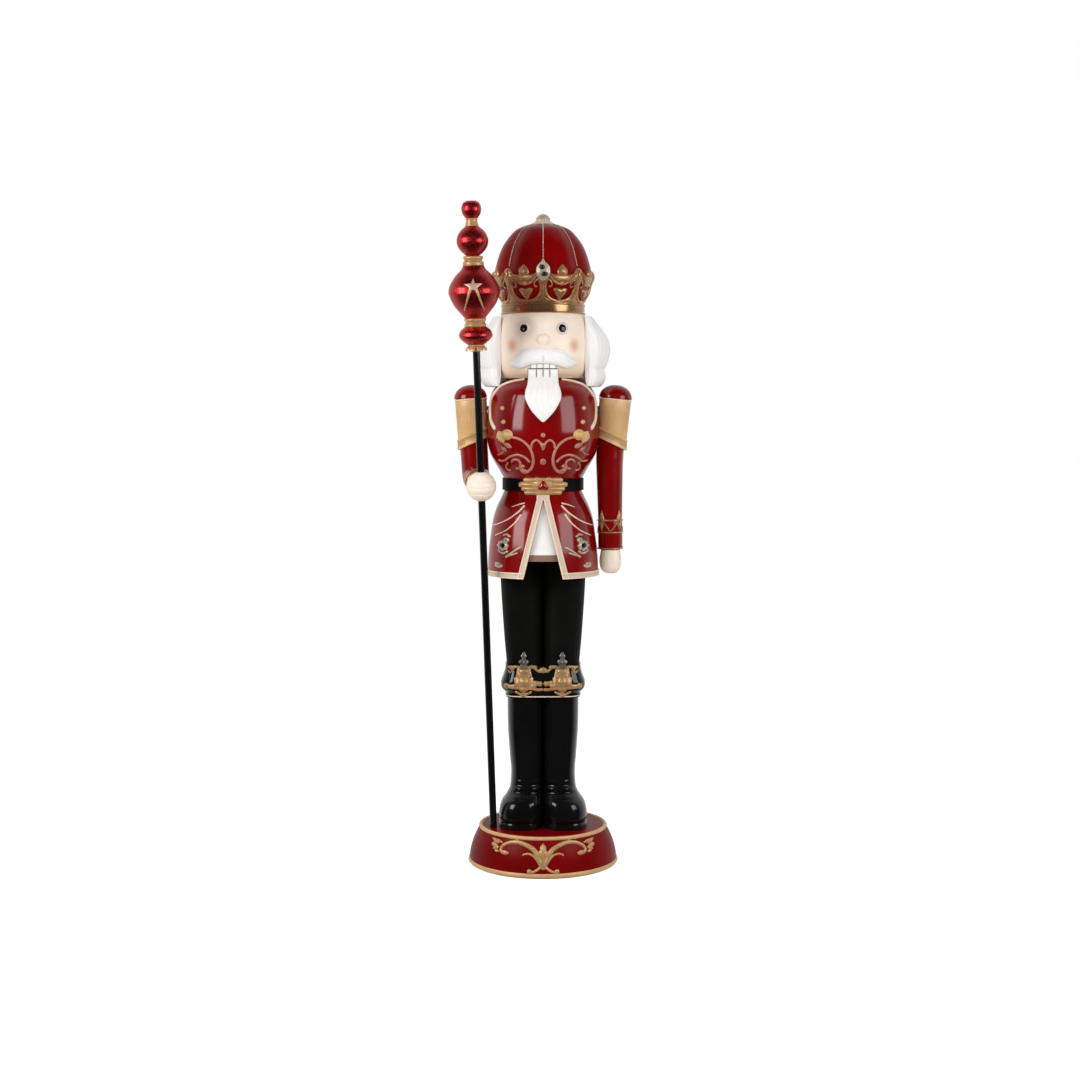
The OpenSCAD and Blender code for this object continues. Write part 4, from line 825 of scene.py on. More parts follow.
def leaf_at(shape, place, foot, length, width, turn, rise, both=True):
    """Leaf that grows from a foot point at a turn from upright, clockwise."""
    a = math.radians(turn)
    for side in (AXIS_SIDES if both else AXIS_SIDES[:1]):
        centre = (side * (foot[0] + math.sin(a) * length / 2), foot[1] + math.cos(a) * length / 2)
        outline = leaf(length, width) @ np.array([[math.cos(a), -math.sin(a)],
                                                  [math.sin(a), math.cos(a)]])
        outline[:, 0] *= side
        shape.dome(place, centre, outline, rise)


def dressed(node, finish):
    """A CAD node that keeps its shape takes a finish."""
    for spot in frame["nodes"][node].material_slots:
        spot.material = finish.material


# ---- Base ---------------------------------------------------------------------------------------

STAFF_LEAN, STAFF_TURN = math.radians(6.2), math.radians(16)
STAFF_BORE_R, FIST_UP = 10.5, 973
staff_foot = np.array([-140.0, -50.0, BASE_H])
staff_up = np.array([-math.sin(STAFF_LEAN) * math.sin(STAFF_TURN),
                     -math.sin(STAFF_LEAN) * math.cos(STAFF_TURN), math.cos(STAFF_LEAN)])


def along(start, end):
    """Carries points to a limb's frame: z runs from start to end, and -y looks ahead."""
    start = np.asarray(start, float)
    up = np.asarray(end, float) - start
    up /= np.linalg.norm(up)
    side = np.cross([0, 1, 0], up)
    side /= np.linalg.norm(side)
    back = np.cross(up, side)

    def place(points):
        points = np.asarray(points, float)
        return start + points[..., :1] * side + points[..., 1:2] * back + points[..., 2:] * up
    return place


on_staff = along(staff_foot, staff_foot + staff_up)


def arc(cx, cz, r, start, end, n=6):
    """Profile points round a corner, in degrees from the radius direction."""
    a = np.radians(np.linspace(start, end, n))
    return np.stack([cx + r * np.cos(a), cz + r * np.sin(a)], 1)


def build_base():
    wall = Shape().lathe(np.concatenate([
        [[0, BASE_H]], arc(BASE_TOP_R - 2.5, BASE_H - 2.5, 2.5, 90, 20), base_outline[-2::-1],
        (base_outline - [WALL, 0])[:-4], [[0, BASE_H - WALL]]]), 240)
    socket = Shape().lathe([[0, -40], [STAFF_BORE_R, -40], [STAFF_BORE_R, 60], [0, 60]], 48,
                           placed=on_staff)
    piece("base_wall", cut(wall.mesh("base"), socket), SOFT_RED, ["base_shell"])
    foot = [[radius_at(base_outline, PAD_T + 12 * t) + SEAT + 3 * math.sin(math.pi * t),
             PAD_T + 12 * t]
            for t in np.linspace(0, 1, 14)]
    inner = [[radius_at(base_outline, p[1]) - 1, p[1]] for p in reversed(foot)]
    rims = Shape().lathe(foot + inner, 240, ring=True)
    rims.lathe(arc(BASE_TOP_R, BASE_H - 3, 5.6, 0, 345, 24), 240, ring=True)
    piece("base_gilt_rims", rims.mesh("rims"), GOLD, ["base_rims"])


def build_base_scrolls():
    mid = BASE_H - 40
    lines = Paths().scrolls(on_base, mid, None, (
        ([[14, -8], [24, 8], [42, 19], [64, 26], [86, 25], [104, 18], [115, 8], [116, -1],
          [108, -5]],
         15, 6, 4.5),
        ([[16, -16], [26, -6], [38, -1], [50, -2], [57, -6]], 8, 4.5, 3.5),
        ([[6, -34], [16, -42], [28, -48], [39, -49]], 8, 6, 3.5),
        ([[112, 20], [126, 25], [138, 15]], 5, 4, 3),
        ([[62, 27], [76, 34], [92, 33]], 4, 2.5, 2.5)))
    fills = Shape()
    trunk = smooth([[0, -42], [9, -38], [13, -28], [20, -17], [22, -8], [24, 2], [15, 5], [9, 10],
                    [8, 18], [0, 27]], 4)
    fills.dome(on_base, (0, mid - 8), mirrored(trunk) + [0, 8], 6, 8)
    leaf_at(fills, on_base, (0, mid - 2), 30, 13, 0, 7.5, both=False)
    for turn, length in ((26, 40), (-26, 40)):
        leaf_at(fills, on_base, (0, mid - 36), length, 11, turn, 7, both=False)
    for x, z, a, b in ((106, -3, 11, 6), (134, 12, 8, 6), (38, -47, 7, 6.5), (128, -2, 6, 4)):
        for side in AXIS_SIDES:
            fills.dome(on_base, (side * x, mid + z), oval(a, b), 4.5)
    leaf_at(fills, on_base, (120, mid + 18), 24, 10, 66, 3.5)
    leaf_at(fills, on_base, (122, mid + 10), 20, 9, 118, 3.5)
    piece("base_gilt_scrolls", joined(lines.cords(BRASS), fills.mesh("fills")), BRASS,
          ["base_scrolls"])


# ---- Boots, trousers and cuff -------------------------------------------------------------------

def leg_ring(z, outer, front, back, n=96, e=2.4):
    """Section of the left leg, which meets the right one at the middle."""
    return superellipse(outer / 2, (back - front) / 2, outer / 2, (back + front) / 2, z, n, e)


def both_legs(rings):
    rings = np.asarray(rings)
    return Shape().loft(rings).loft(rings * [-1, 1, 1])


def build_boots():
    rows = np.array([[0, TOE_X - 5, TOE_Y - 4, 57], [8, TOE_X - 1, TOE_Y - 1, 59],
                     [22, TOE_X, TOE_Y, 60], [40, TOE_X - 3, TOE_Y - 3, 59],
                     [55, TOE_X - 9, TOE_Y - 9, 58], [68, TOE_X - 19, TOE_Y - 21, 57],
                     [79, ANKLE_X + 8, TOE_Y - 33, 56], [92, ANKLE_X + 3, LEG_Y + 1, 56],
                     [110, ANKLE_X + 1, LEG_Y - 5, 56], [140, ANKLE_X, LEG_Y - 6, 57],
                     [190, ANKLE_X + 4, LEG_Y - 4, 58], [270, KNEE_X - 1, LEG_Y - 2, 60],
                     [BOOT_TOP - SOLE_Z, KNEE_X, LEG_Y, LEG_Y]], float)
    fine = smooth(rows, 9)
    rings = []
    for up, outer, front, back in fine:
        ring = leg_ring(SOLE_Z + up, outer, front, back)
        # Soft folds where the ankle bends, deepest over the instep
        fold = 1.8 * math.exp(-((up - 96) / 22) ** 2) * math.sin(up / 3.1)
        ahead = np.clip(-ring[:, 1] / 60, 0, 1)
        ring[:, 1] += fold * ahead * (1 + 0.5 * np.sin(ring[:, 0] / 9))
        rings.append(ring)
    for side, name in zip(AXIS_SIDES, ("left_boot", "right_boot")):
        boot = Shape().loft(np.array(rings) * [side, 1, 1])
        piece(name + "_shaft", boot.mesh(name), BLACK, [name])
    welt = [[0, 1.5], [2, 0], [12, 0], [13.5, 1.6], [15, 0], [18, 1.2]]
    soles = both_legs([leg_ring(BASE_H + up, TOE_X - inset, TOE_Y + 1 - inset, 61 - inset, 96, 2.6)
                       for up, inset in welt])
    piece("boot_soles_pair", soles.mesh("soles"), BLACK, ["boot_soles"], sharp=30)


def build_trousers():
    rows = smooth([[0, KNEE_X, LEG_Y - 1, LEG_Y - 1], [60, KNEE_X + 1, LEG_Y, LEG_Y],
                   [150, KNEE_X + (THIGH_X - KNEE_X) * 0.42, LEG_Y + 2, LEG_Y + 3],
                   [290, THIGH_X - 3, LEG_Y + 5, LEG_Y + 8],
                   [HIP_Z - BOOT_TOP, THIGH_X, LEG_Y + 6, LEG_Y + 10]], 12)
    legs = both_legs([leg_ring(BOOT_TOP + up, outer, front, back)
                      for up, outer, front, back in rows])
    piece("trouser_legs", legs.mesh("trousers"), CLOTH_BLACK, ["trousers"])


CUFF_A, CUFF_B, CUFF_E = KNEE_X + 1.5, LEG_Y + 2, 4.0
RIM_UP = 4
cuff_shape = smooth([[0, 3], [0.14, 4], [0.22, CUFF_OUT - 5], [0.32, CUFF_OUT], [0.48, CUFF_OUT],
                     [0.66, CUFF_OUT * 0.62], [0.85, CUFF_OUT * 0.3], [1, 4]], 6)


def on_cuff(x, z, lift):
    """Front-view place on the cuff's swelling band."""
    x = np.asarray(x, float)
    share = (np.asarray(z, float) - CUFF_Z) / CUFF_H
    swell = np.interp(share, cuff_shape[:, 0], cuff_shape[:, 1])
    a, b = CUFF_A + swell, CUFF_B + swell * 0.8
    u = np.clip(np.abs(x) / a, 0, 0.995)
    y = b * (1 - u ** CUFF_E) ** (1 / CUFF_E)
    nx = np.sign(x) * u ** (CUFF_E - 1) / a
    ny = (y / b) ** (CUFF_E - 1) / b
    size = np.sqrt(nx ** 2 + ny ** 2)
    return np.stack([x + lift * nx / size, -y - lift * ny / size, np.asarray(z, float) + 0 * x], -1)


def build_boot_cuff():
    outer = [superellipse(0, 0, CUFF_A + s, CUFF_B + s * 0.8, CUFF_Z + t * CUFF_H, 160, CUFF_E)
             for t, s in cuff_shape]
    inner = [superellipse(0, 0, CUFF_A, CUFF_B, CUFF_Z + t * CUFF_H, 160, CUFF_E) for t in (1, 0)]
    piece("boot_cuff_band", Shape().grid(np.array(outer + inner), close=True).mesh("cuff"), BLACK,
          ["boot_cuff"])


def build_cuff_ornament():
    z0 = CUFF_Z + RIM_UP
    fills = Shape()
    lines = Paths().scrolls(on_cuff, z0, 4, (
        ([[16, 82], [32, 84], [52, 80], [72, 84], [98, 82]], 11, 8),
        ([[0, 74], [10, 72], [18, 76], [26, 83]], 10, 6),
        ([[0, 38], [14, 38], [30, 42]], 14, 12),
        ([[0, 22], [16, 22], [34, 25], [54, 27], [74, 26], [98, 28]], 9, 8),
        ([[74, 34], [86, 30], [102, 31]], 13, 11),
        ([[32, 16], [44, 9], [55, 2], [66, 9], [78, 16]], 8, 8),
        ([[30, 56], [31, 40], [36, 26]], 6, 5),
        ([[78, 56], [77, 40], [72, 26]], 6, 5),
        ([[84, 76], [92, 68], [97, 74]], 5, 3.5)))
    foot = np.interp(RIM_UP / CUFF_H, cuff_shape[:, 0], cuff_shape[:, 1])
    ring = superellipse(0, 0, CUFF_A + foot, CUFF_B + foot * 0.8, z0, 160, CUFF_E)
    rim = Paths().line(np.concatenate([ring, ring[:2]]), 1.7)
    piece("cuff_pale_rim", rim.cords(PALE), PALE)
    tower = smooth([[0, -38], [11, -29], [22, -18], [24, 0], [21, 20], [18, 36]], 4)
    tower = np.concatenate([tower, (tower * [-1, 1])[-1:0:-1]])
    for side in AXIS_SIDES:
        fills.dome(on_cuff, (side * 54, z0 + 47), tower, 4.4, 7)
        for x, z, a, b, rise in ((54, 72, 15, 9, 6.4), (54, 46, 14, 16, 8), (54, 46, 6.5, 8, 9.6),
                                 (54, 22, 12, 6, 6),
                                 (38, 60, 5, 6, 6), (70, 60, 5, 6, 6), (102, 31, 8, 8, 5),
                                 (54, 8, 7, 5, 5),
                                 (26, 33, 8, 7, 5.5), (86, 80, 7, 6, 4.5)):
            fills.dome(on_cuff, (side * x, z0 + z), oval(a, b), rise)
    fills.dome(on_cuff, (0, z0 + 75), oval(11, 8), 5)
    # Finials that stand free above the band in front of the trouser legs
    stem = smooth([[0, 0], [14, 0], [14.5, 3], [10, 6], [8, 9], [12.5, 15], [11, 20], [6, 23],
                   [4.5, 26], [7.5, 31], [5, 36], [3.5, 38], [2.5, 41], [0, 43]], 4)
    finials = Shape()
    for side in AXIS_SIDES:
        finials.lathe(stem, 32, placed=lambda p, s=side: (
            p * [1.15, 0.4, 1.05] + [s * 54, -CUFF_B - 6, z0 + 82]))
        for dx in (-9.5, 0, 9.5):
            finials.lathe(arc(3.4, 90, 3.2, -90, 90, 8) - [3.4, 0], 16,
                          placed=lambda p, x=side * 54 + dx: p + [x, -CUFF_B - 10, z0 + 9])
    piece("cuff_silver_finials", finials.mesh("finials"), TARNISH)
    piece("cuff_gilt_ornament", joined(lines.cords(DARK_GILT), fills.mesh("fills")), DARK_GILT,
          ["cuff_ornament"])


# ---- Skirt and belt -----------------------------------------------------------------------------

def opening_half(z):
    return 0.5 + (OPENING_X - 0.5) * np.clip((APEX_Z - z) / (APEX_Z - HEM_Z), 0, 1)


def wedge(view, near, far):
    """Prism of a front view given as [x, z] points, from one y to another."""
    view = np.asarray(view, float)
    rows = [np.stack([view[:, 0], np.full(len(view), float(y)), view[:, 1]], 1)
            for y in (near, far)]
    return Shape().loft(rows)


def build_skirt():
    z = np.linspace(HEM_Z, WAIST_Z, 90)
    r = radius_at(skirt_outline, z)
    outer = np.stack([r, z], 1)
    rim = arc(HEM_R - 1.5, HEM_Z + 1.5, 1.5, -90, 0, 4)
    shell = Shape().lathe(np.concatenate([rim, outer[2:], (outer - [WALL, 0])[::-1]]), 240,
                          ring=True)
    opening = wedge([[-OPENING_X - 1, HEM_Z - 5], [OPENING_X + 1, HEM_Z - 5], [0.5, APEX_Z],
                     [-0.5, APEX_Z]],
                    -200, -60)
    piece("coat_skirt_shell", cut(shell.mesh("skirt"), opening), RED, ["coat_skirt"])


def build_waistcoat():
    z = np.linspace(PANEL_Z, APEX_Z, 24)
    front = np.stack([radius_at(skirt_outline, z) - WALL - 6, z], 1)
    panel = Shape().lathe(np.concatenate([front, (front - [WALL, 0])[::-1]]), 160, ring=True)
    piece("white_waistcoat", panel.mesh("waistcoat"), WHITE, ["waistcoat"])
    # The hem band deep in the coat's opening is painted taupe, a gilt trim darkened as painted
    # shade
    r = front[0, 0]
    hem = Shape().lathe(np.concatenate([
        [[r - WALL, PANEL_Z], [r - WALL, PANEL_Z - 18]], arc(r, PANEL_Z - 17, 1, -90, 0),
        arc(r, PANEL_Z - 1, 1, 0, 90)]), 160, ring=True)
    piece("waistcoat_shaded_hem", hem.mesh("hem"), SHADED_HEM, ["waistcoat_hem"])


def build_skirt_trim():
    """Pale braid down both sides of the opening and round the hem, with a raised edge."""
    across = np.array([[0, 0], [0.03, 2.6], [0.12, 3.2], [0.2, 2.4], [0.5, 2.8], [0.8, 2.4],
                       [0.88, 3.2], [0.97, 2.6], [1, 0], [1, -0.8], [0, -0.8]])
    trim = Shape()
    z = np.linspace(HEM_Z, APEX_Z + 14, 70)
    for side in AXIS_SIDES:
        near = np.where(z < APEX_Z, opening_half(z), 0.5)
        rows = [on_skirt(side * (n + TRIM_W * across[:, 0]), np.full(len(across), h), across[:, 1])
                for n, h in zip(near, z)]
        trim.loft(rows)
        start = math.asin((OPENING_X + 1) / HEM_R)
        rows = []
        for turn in np.linspace(start, math.pi, 120):
            ring = on_skirt(np.zeros(len(across)), HEM_Z + TRIM_W * across[:, 0], across[:, 1])
            out = -ring[:, 1]
            rows.append(np.stack([
                side * out * math.sin(turn), -out * math.cos(turn), ring[:, 2]], 1))
        trim.loft(rows)
    piece("coat_pale_braid", trim.mesh("trim"), PALE, ["skirt_trim"], sharp=50)


def build_skirt_ornament():
    lines = Paths().scrolls(on_skirt, WAIST_Z, 2.4, (
        ([[50, -34], [66, -38], [88, -46]], 5, 2),
        ([[50, -40], [70, -60], [98, -80], [124, -93], [140, -99]], 5.5, 2.6),
        ([[60, -64], [72, -82], [88, -98], [106, -112], [134, -126]], 5, 2.6)))
    piece("skirt_pale_cords", lines.cords(PALE), PALE, ["skirt_swags"])
    lines = Paths().scrolls(on_skirt, WAIST_Z, 3.2, (
        ([[60, -154], [76, -163], [92, -175], [104, -184]], 5, 7),
        ([[70, -170], [86, -176], [100, -180]], 4, 6),
        ([[112, -206], [122, -211], [134, -208]], 9, 5),
        ([[90, -128], [100, -121], [110, -124]], 7, 4),
        ([[96, -166], [111, -173], [126, -165]], 7, 5)))
    fills = Shape()
    stones = Shape()
    for side in AXIS_SIDES:
        gem = (side * 111, WAIST_Z - 152)
        fills.dome(on_skirt, gem, oval(14.5, 13.5), 4.5)
        for k in range(8):
            a = k * math.pi / 4
            fills.dome(on_skirt, (gem[0] + 12.5 * math.cos(a), gem[1] + 12 * math.sin(a)),
                       oval(3.6, 3.6, 14), 4.6)
        fills.dome(on_skirt, (side * 101, WAIST_Z - 136), oval(8, 7), 4)
        fills.dome(on_skirt, (side * 126, WAIST_Z - 203), oval(8, 4.5), 3.4)
        stones.dome(on_skirt, gem, oval(8.6, 8.6, 10), 8.6, rings=3)
        stones.dome(on_skirt, (side * 101, WAIST_Z - 136), oval(3, 3, 8), 5.6, rings=3)
    piece("silver_jewel_settings", joined(lines.cords(SILVER), fills.mesh("fills")), SILVER,
          ["jewel_settings"])
    piece("dark_skirt_stones", stones.mesh("stones"), JET, ["skirt_jewels"], sharp=12)


BELT_R, BELT_Z, BELT_H = 112, 1061, 33
buckle_outline = np.array([[BELT_R + 3.0, BELT_Z - 30], [BELT_R + 3.0, BELT_Z + BELT_H + 30]])
on_belt = round_front(buckle_outline)


def build_belt():
    strap = np.concatenate([
        [[BELT_R, BELT_Z + BELT_H], [BELT_R, BELT_Z]], arc(BELT_R + 1.8, BELT_Z + 1.2, 1.2, -90, 0),
        [[BELT_R + 2.4, BELT_Z + 5]], [[BELT_R + 2.4, BELT_Z + BELT_H - 5]],
        arc(BELT_R + 1.8, BELT_Z + BELT_H - 1.2, 1.2, 0, 90)])
    piece("waist_belt", Shape().lathe(strap, 200, ring=True).mesh("belt"), BELT_BLACK, ["belt"],
          sharp=60)
    z0 = BELT_Z + BELT_H / 2
    bars, plate = Paths(), Shape()
    for half, z, high in ((55, 13.5, 14), (68, 1, 16), (60, -10.5, 13.5), (52, -21, 13)):
        bars.scroll(on_belt, [[-half, z0 + z], [0, z0 + z], [half, z0 + z]], high, high, 7.2,
                    both=False, n=16)
    plate.dome(on_belt, (0, z0 - 1), oval(34, 19, 40), 8.4, 8)
    for side in AXIS_SIDES:
        plate.dome(on_belt, (side * 34, z0 + 1), oval(10, 7), 9.4)
        plate.dome(on_belt, (side * 16, z0 + 16), oval(10, 6), 9)
    piece("gilt_buckle", joined(bars.cords(GILT, 24), plate.mesh("buckle")), BRASS, ["belt_buckle"])
    t = np.radians(np.linspace(0, 360, 48, endpoint=False))
    corner = 14 + 3 * np.cos(3 * (t - math.pi / 2))
    gem = np.stack([corner * np.cos(t) * 1.05, corner * np.sin(t)], 1)
    stone_top = Shape().dome(on_belt, (0, z0 - 3), gem, 15, rings=8)
    piece("buckle_red_stone", stone_top.mesh("gem"), RUBY, ["buckle_gem"])


# ---- Torso --------------------------------------------------------------------------------------

WELL_FRONT, WELL_BACK = -320, -50
LEVER_SLOT_X, LEVER_SLOT_Z = 23, (1139, 1241)


def build_torso():
    up = (TORSO_H - WALL) / TORSO_H
    inner = np.stack([
        torso_outline[:, 0] - WALL, WAIST_Z + (torso_outline[:, 1] - WAIST_Z) * up], 1)
    shell = Shape().lathe(np.concatenate([[[0, NECK_Z]], torso_outline[::-1], inner,
                                          [[0, inner[-1, 1]]]]), 240)
    well = block((-JAW_X - 1, WELL_FRONT, NECK_Z - 27), (JAW_X + 1, WELL_BACK, NECK_Z + 10))
    slot = block((-LEVER_SLOT_X, 60, LEVER_SLOT_Z[0]), (LEVER_SLOT_X, 380, LEVER_SLOT_Z[1]))
    piece("coat_body", cut(shell.mesh("torso"), well, slot), RED, ["torso"], sharp=45)


def build_chest_ornament():
    armhole = [[49, 306], [82, 301], [114, 290], [134, 270], [145, 250], [147, 222], [144, 192],
               [132, 168]]
    trim = Paths()
    trim.scroll(on_torso, np.array(armhole) + [0, WAIST_Z], 8, 13, 4.2)
    piece("armhole_pale_braid", trim.cords(PALE, 20), PALE, ["chest_trim"])
    lines = Paths().scrolls(on_torso, WAIST_Z, None, (
        ([[88, 148], [64, 142], [44, 127], [32, 108], [27, 88], [29, 70], [36, 57], [48, 51],
          [58, 56], [58, 66], [50, 69]], 7, 10, 3.4),
        ([[36, 78], [50, 92], [70, 99], [92, 93], [108, 82], [124, 84]], 7, 6, 3),
        ([[88, 78], [80, 86], [68, 84], [62, 74], [66, 63], [76, 60]], 6.5, 8, 3.2),
        ([[32, 116], [30, 130], [20, 139], [9, 134], [2, 120], [0, 112]], 6.5, 6, 3),
        ([[96, 78], [102, 68], [98, 58], [88, 56]], 5, 6, 3),
        ([[108, 108], [118, 100], [126, 98]], 5, 3, 2.6)))
    fills = Shape()
    fills.dome(on_torso, (0, WAIST_Z + 153), oval(6.5, 6.5), 4)
    fills.dome(on_torso, (0, WAIST_Z + 80), oval(8.5, 8.5), 4)
    fills.dome(on_torso, (0, WAIST_Z + 122), leaf(20, 13, 180), 3.6)
    leaf_at(fills, on_torso, (86, WAIST_Z + 118), 28, 13, 58, 5)
    leaf_at(fills, on_torso, (100, WAIST_Z + 108), 22, 10, 50, 4)
    leaf_at(fills, on_torso, (42, WAIST_Z + 48), 26, 13, 62, 5)
    piece("chest_rose_scrolls", joined(lines.cords(ROSE), fills.mesh("fills")), ROSE,
          ["chest_scrolls"])
    # Gilt tassels: a bright ball with cords that spread outward and down from it
    lines, fills = Paths(), Shape()
    for k in range(6):
        a = math.radians(14 - 15 * k)
        reach = 30 - 1.5 * abs(k - 2)
        tip = [99 + reach * math.cos(a), 154 + reach * math.sin(a)]
        bend = [99 + (tip[0] - 99) * 0.6, 155 + (tip[1] - 154) * 0.55]
        lines.scroll(on_torso, np.array([[99, 154], bend, tip]) + [0, WAIST_Z], 8, 9, 4.2)
    for side in AXIS_SIDES:
        fills.dome(on_torso, (side * 99, WAIST_Z + 154), oval(12.5, 12.5), 13.5, rings=9)
        fills.dome(on_torso, (side * 99, WAIST_Z + 154), oval(16, 15), 5)
    piece("chest_gilt_knots", joined(lines.cords(GOLD), fills.mesh("fills")), GOLD, ["chest_knots"])
    studs = Shape()
    for side in AXIS_SIDES:
        for x, z, r in ((112, 227, 5.6), (109, 189, 6)):
            studs.dome(on_torso, (side * x, WAIST_Z + z), oval(r, r), 4)
            studs.dome(on_torso, (side * x, WAIST_Z + z), oval(r * 0.5, r * 0.5, 16), 5.2)
    piece("chest_gilt_studs", studs.mesh("studs"), GOLD, ["chest_buttons"])


# ---- Arms and hands -----------------------------------------------------------------------------

SHOULDER_R, ELBOW_R, CUFF_R, DRUM_T, CAP_H, CAP_R = 40, 38, 34.5, 4, 38, 46.6
DRUM_H, DRUM_SLOPE, WRIST_R, FIST_R = 128, math.radians(20), 23.5, 41
left_shoulder = np.array([203.0, 0, 1312])
right_shoulder = left_shoulder * [-1, 1, 1]
left_elbow, left_wrist = np.array([187.0, 0, 1150]), np.array([190.5, 0, 893])
right_elbow = np.array([-189.0, -4, 1096])
fist = staff_foot + staff_up * FIST_UP
forearm = (fist - right_elbow) / np.linalg.norm(fist - right_elbow)
right_wrist = fist - forearm * (FIST_R - 4)
LEFT_CUFF, RIGHT_CUFF = 86, 44
torso_clearance = Shape().lathe(np.concatenate([[[0, NECK_Z]], (torso_outline + [SEAT, 0])[::-3],
                                                [[0, WAIST_Z]]]), 160)


def unit(v):
    return v / np.linalg.norm(v)


def tube_along(path, radii):
    """Closed round limb along a bent path; each ring stands square to the path."""
    path = np.asarray(path, float)
    ahead = np.gradient(path, axis=0)
    t = full_turn(96)
    rings = []
    for point, course, r in zip(path, ahead, radii):
        up = unit(course)
        side = unit(np.cross([0, 1, 0], up))
        back = np.cross(up, side)
        rings.append(point + r * (np.outer(np.sin(t), side) - np.outer(np.cos(t), back)))
    return Shape().loft(rings)


def bent(a, corner, b, reach):
    """Path from a to b that rounds the corner within a reach of it."""
    near, far = corner + unit(a - corner) * reach, corner + unit(b - corner) * reach
    t = np.linspace(0, 1, 14)[:, None]
    curve = (1 - t) ** 2 * near + 2 * t * (1 - t) * corner + t ** 2 * far
    return np.concatenate([np.linspace(a, near, 16)[:-1], curve, np.linspace(far, b, 10)[1:]])


def build_sleeves():
    for name, node, shoulder, elbow, wrist, cuff in (
            ("left", "left_sleeve", left_shoulder, left_elbow, left_wrist, LEFT_CUFF),
            ("right", "right_sleeve", right_shoulder, right_elbow, right_wrist, RIGHT_CUFF)):
        end = wrist + unit(elbow - wrist) * cuff
        arm = unit(elbow - shoulder)
        a = np.radians(np.linspace(90, 0, 16))
        cap = [shoulder - arm * (5 + CAP_H * math.sin(v)) for v in a] + [shoulder - arm * 4.6]
        cap_r = [CAP_R * math.cos(v) ** 0.92 for v in a] + [SHOULDER_R]
        path = bent(shoulder + arm * 0.6, elbow, end, 26)
        run = np.concatenate([[0], np.cumsum(np.linalg.norm(np.diff(path, axis=0), axis=1))])
        at_elbow = np.linalg.norm(elbow - shoulder)
        radii = np.interp(run, [0, at_elbow - 20, at_elbow, at_elbow + 20, run[-1]],
                          [SHOULDER_R, ELBOW_R + 0.3, ELBOW_R + 0.5, ELBOW_R - 0.3, CUFF_R - 0.5])
        sleeve = tube_along(np.concatenate([cap, path]), cap_r + list(radii))
        piece(name + "_red_sleeve", cut(sleeve.mesh("sleeve"), torso_clearance), RED, [node])
        tube = Shape().lathe(np.concatenate([
            [[0, 32], [WRIST_R + SEAT, 32], [WRIST_R + SEAT, 0]], arc(CUFF_R - 1, 1, 1, -90, 0),
            arc(CUFF_R - 1, cuff - 1.3, 1, 0, 90), [[0, cuff - 0.3]]]), 96,
                             placed=along(wrist, elbow))
        piece(name + "_red_cuff", tube.mesh("cuff"), RED, [name + "_cuff"])


def build_epaulettes():
    n = 180
    turn = full_turn(n)
    r = SHOULDER_R + DRUM_T
    for name, shoulder, elbow, side in (("left", left_shoulder, left_elbow, 1),
                                        ("right", right_shoulder, right_elbow, -1)):
        place = along(shoulder, elbow)
        # The limb's frame looks down the arm, so its x runs against the figure's side
        away = -np.sin(turn) * side
        foot = DRUM_H - 36 + math.tan(DRUM_SLOPE) * r * away
        fringe = 0.35 * np.cos(turn * 60)

        def sleeve_ring(rows):
            """Rings of a radius, a share of fringe, and a height from the top or the foot."""
            out = []
            for radius, rib, top, low in rows:
                z = foot + low if top is None else np.full(n, float(top))
                rr = radius + fringe * rib
                out.append(around(rr, turn, z))
            return place(np.array(out))
        drum = Shape().grid(sleeve_ring([
            [SHOULDER_R + SEAT, 0, 2, 0], [r - 0.2, 0, 2, 0], [r, 1, 4, 0], [r - 0.3, 1, 30, 0],
            [r - 0.6, 1, 60, 0], [r - 1.2, 1, None, -3], [r - 2.2, 0, None, -0.4],
            [SHOULDER_R + SEAT, 0, None, -0.4]]),
                            close=True)
        band = Shape().grid(sleeve_ring([
            [SHOULDER_R + SEAT, 0, None, 0.4], [r + 1, 0, None, 0.4], [r + 2.3, 0, None, 1.4],
            [r + 2.3, 0.6, None, 4], [r + 0.9, 0.6, None, 6], [r + 0.9, 1, None, 20],
            [r + 2.4, 0.6, None, 22.5], [r + 2.4, 0, None, 27.5],
            [r + 1.6, 0, None, 29.4], [SHOULDER_R + SEAT, 0, None, 29.4]]), close=True)
        bead = np.concatenate([[[SHOULDER_R + SEAT, 2.6]], arc(r - 0.2, 0, 2.6, 90, -90, 13),
                               [[r - 0.2, 1 + SEAT], [SHOULDER_R + SEAT, 1 + SEAT]]])
        rim = Shape().lathe(bead - [0, 1], 160, ring=True, placed=place)
        parts = [cut(part.mesh("drum"), torso_clearance) for part in (drum, band)]
        piece(name + "_gilt_epaulette", joined(*parts), GOLD, [name + "_epaulette"])
        piece(name + "_pale_rim", cut(rim.mesh("rim"), torso_clearance), PALE)


